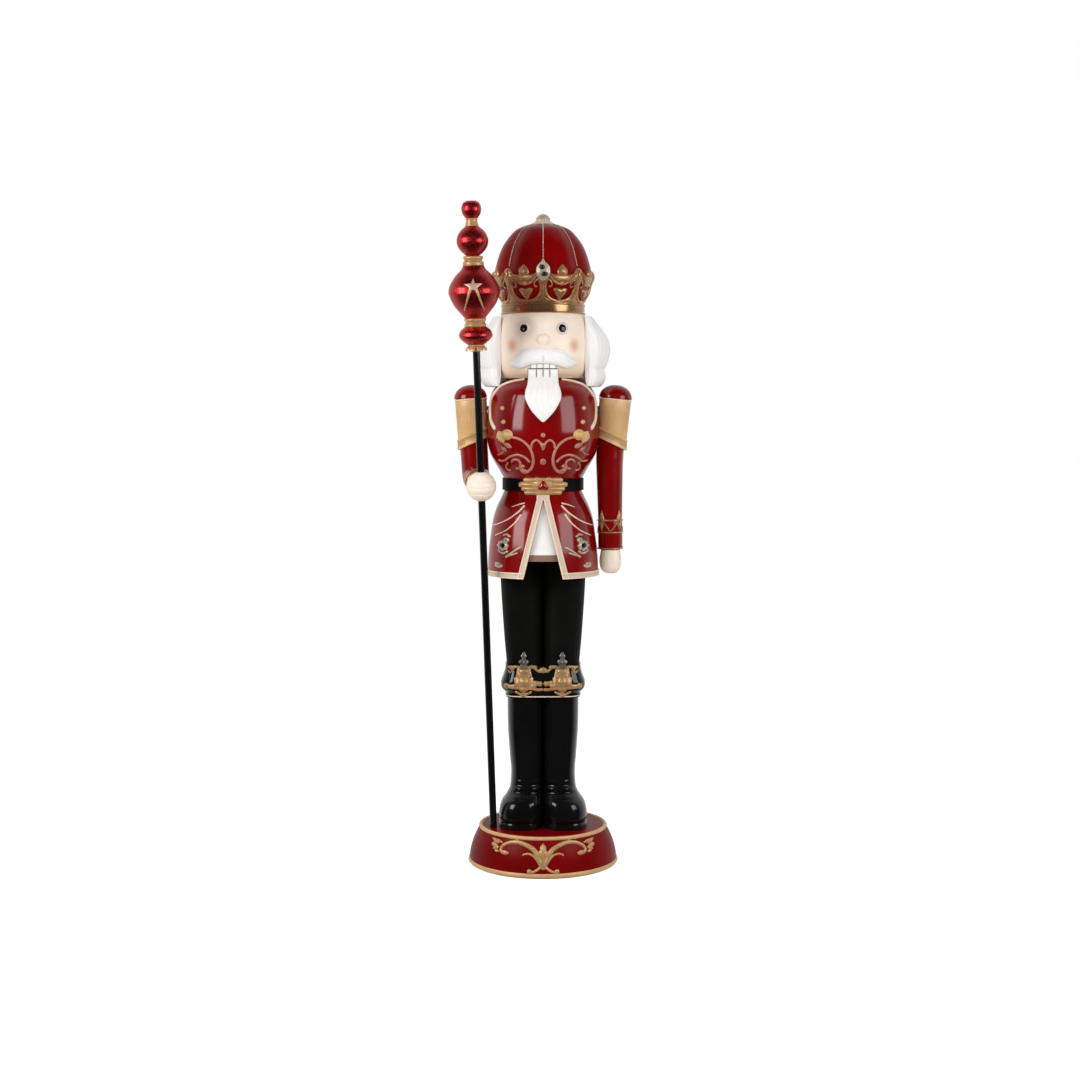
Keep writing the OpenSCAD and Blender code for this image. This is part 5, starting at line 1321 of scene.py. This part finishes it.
def build_cuff_trims():
    trims = Shape()
    lines = Paths()
    left = along(left_wrist, left_elbow)
    for place, heights in ((left, (3, 48, LEFT_CUFF - 4)),
                           (along(right_wrist, right_elbow), (4, RIGHT_CUFF - 4))):
        for z in heights:
            trims.lathe(arc(CUFF_R + 0.4, z, 2.3, 0, 340, 14), 96, ring=True, placed=place)

    def on_cuff_side(a, z, lift):
        return left(around(CUFF_R + lift, a, z))

    def flame(mid, z, length, width, lift):
        outline = leaf(length, width) * [1 / CUFF_R, 1]
        k = np.sin(np.linspace(0, math.pi / 2, 7))[:, None, None]
        flat = np.array([mid, z]) + k * outline[None]
        high = lift * np.sqrt(np.maximum(0, 1 - k[..., 0] ** 2)) * np.ones(len(outline))
        under = np.full(flat.shape[:2], -0.5)
        trims.grid(np.concatenate([on_cuff_side(flat[..., 0], flat[..., 1], high),
                                   on_cuff_side(flat[::-1, :, 0], flat[::-1, :, 1], under)]))
    for k in range(4):
        mid = math.pi / 2 * k
        vee = smooth([[mid - 0.62, 78], [mid - 0.3, 64], [mid, 52], [mid + 0.3, 64],
                      [mid + 0.62, 78]], 5)
        lines.line(on_cuff_side(vee[:, 0], vee[:, 1], np.full(len(vee), 0.1)), 1.8)
        flame(mid + math.pi / 4, 84, 54, 17, 4)
        flame(mid + math.pi / 4, 68, 30, 9, 5.4)
    piece("gilt_cuff_trims", joined(trims.mesh("trims"), lines.cords(GILT, 10)), GILT,
          ["cuff_trims"])


def build_hands():
    rows = smooth([[-67, 0.3], [-64, 0.6], [-57, 0.82], [-45, 0.96], [-28, 1], [-12, 0.93],
                   [0, 0.86]], 7)
    rings = []
    for dz, s in rows:
        ring = superellipse(left_wrist[0], -2, 31 * s, 36 * s, left_wrist[2] - 1.3 + dz, 96, 2.3)
        # Fingers folded into the palm: grooves on the lower half
        low = np.clip((-18 - dz) / 16, 0, 1)
        groove = np.zeros(len(ring))
        for y in (-20, -3, 14):
            groove += np.exp(-((ring[:, 1] - y) / 2.4) ** 2)
        middle = np.array([left_wrist[0], -2, ring[0, 2]])
        ring = middle + (ring - middle) * (1 - 0.055 * groove * low)[:, None]
        rings.append(ring)
    hand = Shape().loft(rings)
    hand.lathe([[0, -3], [WRIST_R, -3], [WRIST_R, 27], [0, 27]], 64,
               placed=along(left_wrist, left_elbow))
    piece("left_painted_hand", hand.mesh("hand"), SKIN, ["left_hand"])
    a = np.radians(np.linspace(-90, 90, 65))
    t = full_turn(128)
    height = FIST_R * np.sin(a)
    knuckle = sum(np.exp(-((height - z) / 1.9) ** 2) for z in (-18, -1, 16))
    r = FIST_R * np.cos(a)[:, None] * (1 - 0.045 * knuckle[:, None]
                                       * np.clip(np.cos(t - 0.35) + 0.35, 0, 1))
    ball = around(r, t, np.repeat(height[:, None], len(t), 1))
    palm = Shape().grid(on_staff(ball + [0, 0, FIST_UP]))
    bore = Shape().lathe([[0, 900], [STAFF_BORE_R, 900], [STAFF_BORE_R, 1050], [0, 1050]], 48,
                         placed=on_staff)
    peg = Shape().lathe([[0, -10], [WRIST_R, -10], [WRIST_R, 28], [0, 28]], 64,
                        placed=along(right_wrist, right_elbow))
    piece("right_painted_fist", joined(cut(palm.mesh("fist"), bore), peg.mesh("peg")), SKIN,
          ["right_hand"])


# ---- Head ---------------------------------------------------------------------------------------

EYE_X, EYE_Z, EYE_R, PUPIL_R, HAIR_OUT = 52, 1506, 17, 11, 60
HAIR_START, HAIR_SWEEP, HAIR_STEPS = -28, 236, 340
TOOTH, TOOTH_GAPS, TOOTH_FOOT_Z = 18, (-1, 0, 1), 1384
JAW_PROUD, JAW_LIP_Z = 0.2, 1394


def on_skin(outline, x, z):
    """Carries points to a round surface's frame at a front-view spot: z points outward there."""
    place = round_front(outline)
    foot, tip = place(x, z, 0.0), place(x, z, 1.0)
    out = unit(tip - foot)
    side = unit(np.cross([0, 0, 1], out))
    up = np.cross(out, side)

    def carry(points):
        points = np.asarray(points, float)
        return foot + points[..., :1] * side + points[..., 1:2] * up + points[..., 2:] * out
    return carry


def build_head():
    skull = Shape().lathe(np.concatenate([[[0, CROWN_Z]], head_outline[::-1], [[0, NECK_Z]]]), 200)
    well = block((-JAW_X - 1, WELL_FRONT, NECK_Z - 1), (JAW_X + 1, WELL_BACK, MOUTH_Z))
    recess = block((-36, -140, MOUTH_Z - 1), (36, -115, MOUTH_Z + 13))
    sockets = [Shape().lathe([[0, -3], [EYE_R + 0.2, -3], [EYE_R + 0.2, 9], [0, 9]], 64,
                             placed=on_skin(head_outline, s * EYE_X, EYE_Z)) for s in AXIS_SIDES]
    tip = math.radians(-8)
    turn = np.array([[1, 0, 0], [0, math.cos(tip), -math.sin(tip)],
                     [0, math.sin(tip), math.cos(tip)]])

    def nose_place(points):
        laid = np.stack([points[..., 0], -points[..., 2], points[..., 1]], -1)
        return laid @ turn.T * [1.2, 1, 1.05] + [0, -HEAD_R + 3, NECK_Z + 104]
    nose = Shape().lathe(smooth([[0, -10], [21, -10], [19.5, -1.6], [16, 2.4], [12.5, 7], [8, 10.6],
                                 [0, 12]], 6), 48,
                         placed=nose_place)
    brows = Paths().scroll(on_head, [[28, 1526], [40, 1534], [54, 1536], [68, 1531], [78, 1523]], 4,
                           2.5, 1.2)
    skin = joined(cut(skull.mesh("skull"), well, recess, *sockets), nose.mesh("nose"),
                  brows.cords(SKIN, 10))
    piece("painted_head", skin, SKIN, ["head"])
    whites, pupils = Shape(), Shape()
    for s in AXIS_SIDES:
        place = on_skin(head_outline, s * EYE_X, EYE_Z)
        whites.lathe([[0, -2.8], [EYE_R, -2.8], [EYE_R, 0.6], [EYE_R - 0.6, 1.5], [EYE_R - 2, 2.1],
                      [0, 2.2]], 64,
                     placed=place)
        pupils.lathe([[0, 1.4], [PUPIL_R, 1.4], [PUPIL_R, 2.7], [PUPIL_R - 0.9, 3.7],
                      [PUPIL_R - 3.4, 4.6], [0, 5]], 48, placed=place)
    piece("white_eyes", whites.mesh("eyes"), EYE_WHITE, ["eyes"])
    piece("black_pupils", pupils.mesh("pupils"), BLACK, ["pupils"])
    tooth = Shape().loft([superellipse(0, -124.2, TOOTH / 2 - 1 - k, 6.6 - k, z, 28, 6)
                          for z, k in ((1397.3, 0.8), (1398, 0), (1408.4, 0), (1409.3, 0.8))])
    step = TOOTH / HEAD_R
    teeth = RINGS.grow(tooth.mesh("tooth"), WHITE, Count=4, Start=-1.5 * step, Step=step)
    piece("upper_teeth_row", teeth, WHITE, ["upper_teeth"])
    gaps = Paths()
    for k in TOOTH_GAPS:
        gaps.line(np.array([[k * TOOTH, -126.5, 1397.6], [k * TOOTH, -126.5, 1409]]), 1.5)
    piece("upper_tooth_lines", gaps.cords(MOUTH_LINE, 8), MOUTH_LINE)


# Half of the moustache: distance from the middle, lower edge, upper edge and thickness
whisker = np.array([[0, 13, 54, 9], [20, 12, 55, 13], [36, 9, 54.5, 13], [50, 4, 52, 12],
                    [61, 1, 46, 11], [72, 2, 36, 9], [82, 7, 27, 7], [91, 13, 20, 3]], float)


def head_knife(grow):
    """Solid of the head's outline, grown a little, to trim what seats on it."""
    outline = head_outline[::-3] + [grow, 0]
    return Shape().lathe(
        np.concatenate([[[0, outline[0, 1]]], outline, [[0, outline[-1, 1]]]]), 160)


def build_moustache():
    t = full_turn(96)
    half = smooth(whisker, 8)
    rows = np.concatenate([(half * [-1, 1, 1, 1])[:0:-1], half])
    rings = []
    for x, low, top, thick in rows:
        ends = min(1, abs(x) / 14)
        comb = 1 - 0.045 * (0.5 + 0.5 * np.cos(t * 14 + abs(x) * 0.05)) * ends
        # The parting shows on the lower half only
        parting = 1 - 0.55 * math.exp(-(x / 3) ** 2) * np.clip(-np.sin(t) * 2 + 0.5, 0, 1)
        y = -math.sqrt((HEAD_R + 3) ** 2 - x * x) - thick * np.cos(t) * comb * parting
        z = MOUTH_Z + (low + top) / 2 + (top - low) / 2 * np.sin(t) * comb
        rings.append(np.stack([np.full(len(t), x), y, z], 1))
    both = Shape().loft(rings)
    piece("carved_moustache", cut(both.mesh("moustache"), head_knife(SEAT)), WHITE, ["moustache"])


def build_jaw():
    front = HEAD_R + JAW_PROUD
    columns = []
    for x in np.linspace(-JAW_X, JAW_X, 84):
        # Lower teeth: grooves in the front of the block
        gap = sum(math.exp(-((x - k * TOOTH) / 0.9) ** 2) for k in TOOTH_GAPS)
        rows = [[-64, 1386], [-92.3, 1386], [-92.3, NECK_Z + 2]]
        for z in (NECK_Z + 2, 1380, TOOTH_FOOT_Z, 1386, 1393.6, 1394.7):
            r = radius_at(head_outline, z) + JAW_PROUD
            r = r - (1.2 * gap if z > TOOTH_FOOT_Z else 0) - (0.7 if z > JAW_LIP_Z else 0)
            rows.append([-math.sqrt(r * r - x * x), z])
        rows += [[-front * 0.9, MOUTH_Z - 2], [-64, MOUTH_Z - 2]]
        columns.append([[x, y, z] for y, z in rows])
    piece("jaw_mouth_block", Shape().loft(columns).mesh("jaw"), WHITE, ["jaw_block"], body="jaw")
    rows = smooth([[-146, 3, 178, 172], [-136, 14, 181, 170.5], [-118, 30, 182, 169],
                   [-98, 42, 180, 166], [-80, 49, 177, 162], [-62, 48, 170, 156],
                   [-45, 43, 158, 145], [-23, JAW_X, 142, 105],
                   [-6, JAW_X, 138, 105]], 7)
    rings = []
    for h, half, ahead, behind in rows:
        ring = superellipse(
            0, -(ahead + behind) / 2, half, (ahead - behind) / 2, MOUTH_Z + h, 160, 2.6)
        low = np.clip((-24 - h) / 30, 0, 1) * np.clip(
            -(ring[:, 1] + (ahead + behind) / 2) / 3, 0, 1)
        lock = np.abs(np.sin(ring[:, 0] * 0.2 * (49 / max(half, 12)) + 0.4 * math.sin(h * 0.05)))
        ring[:, 1] += 1.5 * low * (1 - lock) ** 2
        # The lower teeth run down over the top of the beard
        tooth = sum(np.exp(-((ring[:, 0] - k * TOOTH) / 1.9) ** 2) for k in TOOTH_GAPS)
        ring[:, 1] += 1.9 * tooth * np.clip((h + 27) / 5, 0, 1) * (ring[:, 1] < -125)
        rings.append(ring)
    beard = cut(Shape().loft(rings).mesh("beard"), head_knife(0.25))
    piece("carved_beard", beard, WHITE, ["beard"], body="jaw")
    gaps = Paths()
    for k in TOOTH_GAPS:
        x, z = k * TOOTH, np.linspace(-4, -25, 8)
        front = np.interp(z, [-45, -23, -6, -4], [158, 142, 138, 134])
        ahead = front * (1 - (abs(x) / JAW_X) ** 2.6 * 0.06)
        gaps.line(np.stack([np.full(8, x), -ahead + 0.4, MOUTH_Z + z], 1), np.linspace(1.7, 0.7, 8))
    piece("lower_tooth_lines", gaps.cords(MOUTH_LINE, 8), MOUTH_LINE, body="jaw")


def build_hair():
    """Two rolls of combed hair round the back and sides, one over the other."""
    inner = HEAD_R + 1
    foot, top = NECK_Z - 22, CROWN_Z - 4
    outline = np.array([[0, 26], [0.3, 5], [0.62, 0], [0.86, 12], [0.96, 30], [0.86, 48],
                        [0.98, 58], [1.16, 82], [1.22, 106], [1.1, 132], [0.78, 156], [0.44, 176],
                        [0.16, top - foot - 2]])
    sections = []
    for t in np.linspace(0, 1, HAIR_STEPS):
        s = 0.012 + 0.976 * t
        side = math.sin(math.pi * s) ** 0.3 * min(1, 0.3 + 25 * min(s, 1 - s))
        lock = 1 + 0.05 * math.cos(14 * math.pi * s)
        out = (HAIR_OUT - 2) * side * lock
        rows = smooth(np.concatenate([[[inner, foot + 26]], outline[1:] * [out, 1] + [inner, foot],
                                      [[inner, top - 2]]]), 6)
        # Fine combed strands that wave between the locks
        comb = 0.5 + 0.5 * np.cos(64 * math.pi * s + 1.6 * np.sin(rows[:, 1] / 24))
        rows[1:-1, 0] -= (1.5 * comb * np.clip((rows[:, 0] - inner) / 20, 0, 1))[1:-1]
        a = math.radians(HAIR_START + HAIR_SWEEP * t)
        sections.append(np.stack([
            rows[:, 0] * math.cos(a), rows[:, 0] * math.sin(a), rows[:, 1]], 1))
    hair = cut(Shape().loft(sections).mesh("hair"), torso_clearance)
    piece("carved_hair", hair, HAIR_WHITE, ["hair"])


# ---- Crown --------------------------------------------------------------------------------------

def build_crown_band():
    r, z = BAND_R, CROWN_Z
    band = np.concatenate([
        [[r - 8, z + SEAT], [r + 1, z + SEAT]],
        smooth([[r + 1, z + SEAT], [r + 2.8, z + 1.6], [r + 2.8, z + 3.4], [r + 1, z + 5]], 4)[1:],
        [[r + 0.6, z + 5.4], [r + 0.6, z + BAND_H - 7.4]],
        smooth([[r, z + BAND_H - 7], [r + 2, z + BAND_H - 5], [r + 2, z + BAND_H - 2],
                [r - 1, z + BAND_H]], 4),
        [[r - 8, z + BAND_H]]])
    piece("gilt_crown_band", Shape().lathe(band, 240, ring=True).mesh("band"), POLISHED,
          ["crown_band"])


SECTORS, SECTOR_TURN = 8, math.pi / 4


def build_coronet():
    """Gilt leaves on arches: one sector of the coronet, copied round the crown."""
    reference = 138
    on_crown = round_wrap(coronet_outline - [2.2, 0], reference)
    z0 = leaf_foot
    fills, lines = Shape(), Paths()
    mid = math.pi * reference / 8

    def pillow(x, z, outline, rise):
        fills.dome(on_crown, (x, z0 + z), outline, rise, 5, 2.6)

    def mirrored_about(half, centre):
        return mirrored(half) - [0, centre]
    column = smooth([[0, -2], [12, -1], [9, 8], [8, 20], [9.5, 34], [11, 46], [15, 58], [19, 70],
                     [17, 80], [9, 89], [0, 92]], 4)
    pillow(0, 48, mirrored_about(column, 48), 4.6)
    pillow(0, 74, leaf(34, 15), 6.6)
    pillow(0, 34, leaf(44, 8), 6)
    bowl = smooth([[0, 44], [14, 46], [27, 54], [38, 66], [50, 81], [38, 77], [24, 73], [0, 72]], 4)
    pillow(mid, 58, mirrored_about(bowl, 58), 5)
    knob = smooth([[0, 66], [12, 70], [15, 78], [13, 87], [6, 95], [0, 100]], 4)
    pillow(mid, 82, mirrored_about(knob, 82), 6)
    pillow(mid, 82, leaf(28, 9), 7.6)
    cushion = smooth([[0, 6], [5, 9], [12, 17], [19, 26], [22, 34], [13, 37], [0, 34]], 4)
    pillow(mid, 24, mirrored_about(cushion, 24), 4.6)
    pillow(mid, 50, oval(6, 7, 18), 7.2)
    arch = [[5, 44], [9, 24], [20, 11], [37, 4], [mid, 1], [2 * mid - 37, 4], [2 * mid - 20, 11],
            [2 * mid - 9, 24], [2 * mid - 5, 44]]

    def vein(points, half, lift=0.6):
        """Raised cord on both sides of the middle of the sector."""
        c = smooth(points, 6)
        for x in (c[:, 0], 2 * mid - c[:, 0]):
            lines.line(on_crown(x, z0 + c[:, 1], np.full(len(c), lift)),
                       np.linspace(half, half * 0.6, len(c)))
    c = smooth(arch, 6)
    lines.line(on_crown(c[:, 0], z0 + c[:, 1], np.full(len(c), 0.6)), 4)
    vein([[3, 14], [11, 8], [20, 5]], 3)
    vein([[mid - 4, 48], [mid - 20, 54], [mid - 34, 66], [mid - 46, 80]], 1.7, 4.6)
    vein([[mid - 6, 60], [mid - 18, 63], [mid - 30, 72], [mid - 40, 80]], 1.3, 4.4)
    vein([[mid - 3, 12], [mid - 9, 20], [mid - 14, 32]], 1.4, 4.2)
    vein([[12, 62], [20, 56], [26, 48], [22, 40], [16, 42]], 2.4, 0.8)
    sector = joined(fills.mesh("fills"), lines.cords(GILT, 12))
    leaves = RINGS.grow(sector, GILT, Count=SECTORS, Start=0.0, Step=SECTOR_TURN)
    rail = coronet_outline[coronet_outline[:, 1] <= leaf_foot + 9]
    ring = Shape().lathe(np.concatenate([rail, (rail - [RAIL_T, 0])[::-1]]), 240, ring=True)
    piece("gilt_coronet", joined(leaves, ring.mesh("rail")), GILT, ["crown_leaves"])


LOBE, RIB_FOOT_Z, MEDALLION_Z = 0.05, 1676, 1661
KNOB_SEAT_Z, KNOB_SEAM_Z = 1797, 1817


def lobe(a):
    """Share of the cap's radius between its eight padded segments."""
    return 1 - LOBE * np.abs(np.cos(4 * a)) ** 3


def build_cap():
    a = full_turn(288)
    profile = np.concatenate([[[0, cap_outline[0, 1]]], cap_outline, [[0, cap_outline[-1, 1]]]])
    share = np.clip((profile[:, 1] - CROWN_Z - 60) / 60, 0, 1)[:, None]
    r = profile[:, :1] * (1 - share * (1 - lobe(a)))
    cap = Shape().grid(around(r, a, np.repeat(profile[:, 1:], len(a), 1)))
    piece("red_crown_cap", cap.mesh("cap"), CAP_RED, ["crown_cap"])
    up = cap_outline[cap_outline[:, 1] > RIB_FOOT_Z]
    run = np.stack([up[:, 0] * (1 - LOBE) + 0.8, up[:, 1] + 0.4], 1)
    plain = Paths().line(np.stack([0 * run[:, 0], -run[:, 0], run[:, 1]], 1), 1.3)
    ribs = RINGS.grow(plain.cords(GOLD, 10), GOLD, Count=SECTORS, Start=0.0, Step=SECTOR_TURN)
    chain = Paths().line(np.stack([0 * run[:, 0], -run[:, 0] - 1.2, run[:, 1]], 1), 1).mesh()
    beaded = BEADS.grow(chain, GOLD, Spacing=5.2 * MM, Radius=1.8 * MM)
    piece("gilt_crown_ribs", joined(ribs, beaded), SILVER, ["crown_ribs"])


def build_crown_jewels():
    knob_z = CROWN_Z + DOME_RISE + 11
    knob = Shape().lathe(np.concatenate([[[0, KNOB_SEAT_Z + 3]], arc(0, knob_z, 20, -22, 90, 24)]),
                         96)
    knob.lathe(arc(18.6, KNOB_SEAM_Z, 1.5, 0, 340, 12), 96, ring=True)
    piece("silver_gilt_knob", knob.mesh("knob"), SILVER, ["crown_finial"])
    foot = smooth([[36, KNOB_SEAT_Z], [34.5, KNOB_SEAT_Z + 3], [29, 1803.5], [22.5, 1808],
                   [19.4, 1813],
                   [18.4, KNOB_SEAM_Z]], 5)
    turn = full_turn(192)
    flute = 1 + 0.03 * np.cos(16 * turn)
    rows = [around(r * flute, turn, np.full(192, z))
            for r, z in np.concatenate([foot, [[15, KNOB_SEAM_Z]], [[15, KNOB_SEAT_Z]]])]
    piece("knob_pale_foot", Shape().grid(np.array(rows), close=True).mesh("foot"), PALE)
    z0 = MEDALLION_Z
    on_front = round_front(coronet_outline + [3.4, 0])
    drop = smooth([[0, -27], [8, -24.5], [16.5, -13], [19.5, 0], [17, 12], [10, 20], [5, 24],
                   [3, 30], [0, 31]], 4)
    plate = Shape().dome(on_front, (0, z0), mirrored(drop), 4.4, rings=9)
    plate.dome(on_front, (0, z0 + 1), oval(16, 19), 6, rings=8)
    stones = Shape()
    for x, z, a, b in ((-2.4, 8, 8, 8), (3.6, -8.6, 9.4, 6.4)):
        stones.dome(on_front, (x, z0 + z), oval(a, b, 20), 9.6, sink=-4.4)
    piece("silver_medallion", plate.mesh("medallion"), SILVER, ["crown_medallion"])
    piece("medallion_dark_stones", stones.mesh("stones"), JET)


# ---- Staff --------------------------------------------------------------------------------------

ONION_UP, ONION_H = 1429, 141


def build_staff():
    def bead(s, high, r, shape):
        """Half outline of a turned bead, from shares of its radius and height."""
        rows = smooth(shape, 8)
        return np.stack([rows[:, 0] * r, s + rows[:, 1] * high], 1)

    def turned(*parts, steps=128):
        """Closed beads turned on the staff's own axis."""
        out = Shape()
        for rows in parts:
            out.lathe(np.concatenate([[[0, rows[0, 1]]], rows, [[0, rows[-1, 1]]]]), steps,
                      placed=on_staff)
        return out
    oblate = bead(1360, 47, 45, [[0.55, 0], [0.82, 0.2], [0.98, 0.4], [1, 0.55], [0.9, 0.78],
                                 [0.62, 1]])
    onion = bead(ONION_UP, ONION_H, 69, [
        [0.4, 0], [0.52, 0.07], [0.8, 0.24], [0.97, 0.42], [1, 0.52], [0.93, 0.64], [0.72, 0.8],
        [0.48, 0.92], [0.4, 1]])
    ball = bead(1594, 79, 42.5, [[0.4, 0], [0.72, 0.15], [0.92, 0.31], [1, 0.5], [0.92, 0.69],
                                 [0.72, 0.85], [0.4, 1]])
    tip = bead(1693, 46, 26.5, [[0.6, 0], [0.9, 0.25], [1, 0.55], [0.85, 0.85], [0.5, 1]])
    piece("staff_red_balls", turned(oblate, onion, ball, tip).mesh("balls"), FOIL, ["staff_balls"],
          body="staff")
    rings = turned(
        bead(1340, 20, 29, [[0.5, 0], [0.62, 0.1], [0.7, 0.5], [0.8, 0.9], [0.7, 1]]),
        bead(1407, 22, 30, [[0.95, 0], [1, 0.2], [0.88, 0.5], [1, 0.8], [0.95, 1]]),
        bead(1570, 24, 28, [[1, 0], [1, 0.3], [0.85, 0.5], [0.95, 0.8], [0.9, 1]]),
        bead(1673, 20, 19, [[0.95, 0], [0.85, 0.4], [0.8, 0.7], [0.85, 1]]), steps=96)
    petals = Shape()
    spine = smooth([[17, 1357], [23, 1353], [27, 1347], [28, 1342]], 5)
    half = np.interp(np.linspace(0, 1, len(spine)), [0, 0.5, 0.85, 1], [5, 8, 7, 3.5])
    t = full_turn(12)
    for k in range(8):
        a = 2 * math.pi * (k + 0.5) / 8
        rows = [np.stack([r * math.sin(a) + h * np.cos(t) * math.cos(a) + 2 * np.sin(t)
                          * math.sin(a),
                          -(r * math.cos(a) - h * np.cos(t) * math.sin(a) + 2 * np.sin(t)
                            * math.cos(a)),
                          np.full(12, z)], 1) for (r, z), h in zip(spine, half)]
        petals.loft(on_staff(np.array(rows)))
    piece("staff_gilt_rings", joined(rings.mesh("rings"), petals.mesh("petals")), BRASS,
          ["staff_rings"], body="staff")
    # Star on the big ball, with two long lower arms
    on_onion = round_front(onion)

    def on_ball(x, z, lift):
        return on_staff(on_onion(x, z, lift))
    z0 = ONION_UP + ONION_H * 0.62
    star = np.array([[0, 20], [5, 6.5], [25, 5.5], [11, -5], [14, -17], [0, -10],
                     [-14, -17], [-11, -5], [-25, 5.5], [-5, 6.5]], float)
    edge = np.concatenate([np.linspace(star[i], star[(i + 1) % len(star)],
                                       6)[:-1] for i in range(len(star))])
    piece("staff_gilt_star", Shape().dome(on_ball, (0, z0), edge[::-1], 3.3, 7).mesh("star"),
          STAR_GILT, ["staff_star"],
          body="staff")
    # The rays take the darker gilt as painted shade lower on the ball, and the star above them a
    # paler gilt as painted highlight
    legs = Paths().scroll(on_ball, [[9, z0 - 10], [17, z0 - 36], [27, z0 - 66]], 9, 2.5, 2.4)
    piece("staff_star_rays", legs.cords(DARK_GILT), DARK_GILT, body="staff")


def dress_plain_parts():
    for node, finish in (("base_pad", FOAM), ("base_board", PLY), ("hip_board", PLY),
                         ("waist_board", PLY),
                         ("jaw_housing", PLY), ("jaw_lever", PLY), ("leg_posts", STEEL),
                         ("pivot_pin", STEEL),
                         ("shoulder_bolts", STEEL), ("staff_pole", BLACK)):
        dressed(node, finish)


bpy.context.scene.view_settings.view_transform = "Standard"
place_camera()
light_studio()
lay_floor()
for build in (build_base, build_base_scrolls, build_boots, build_trousers, build_boot_cuff,
              build_cuff_ornament, build_skirt, build_waistcoat, build_skirt_trim,
              build_skirt_ornament, build_belt, build_torso, build_chest_ornament, build_sleeves,
              build_epaulettes, build_cuff_trims, build_hands, build_head, build_moustache,
              build_jaw, build_hair, build_crown_band, build_coronet, build_cap,
              build_crown_jewels, build_staff, dress_plain_parts):
    build()
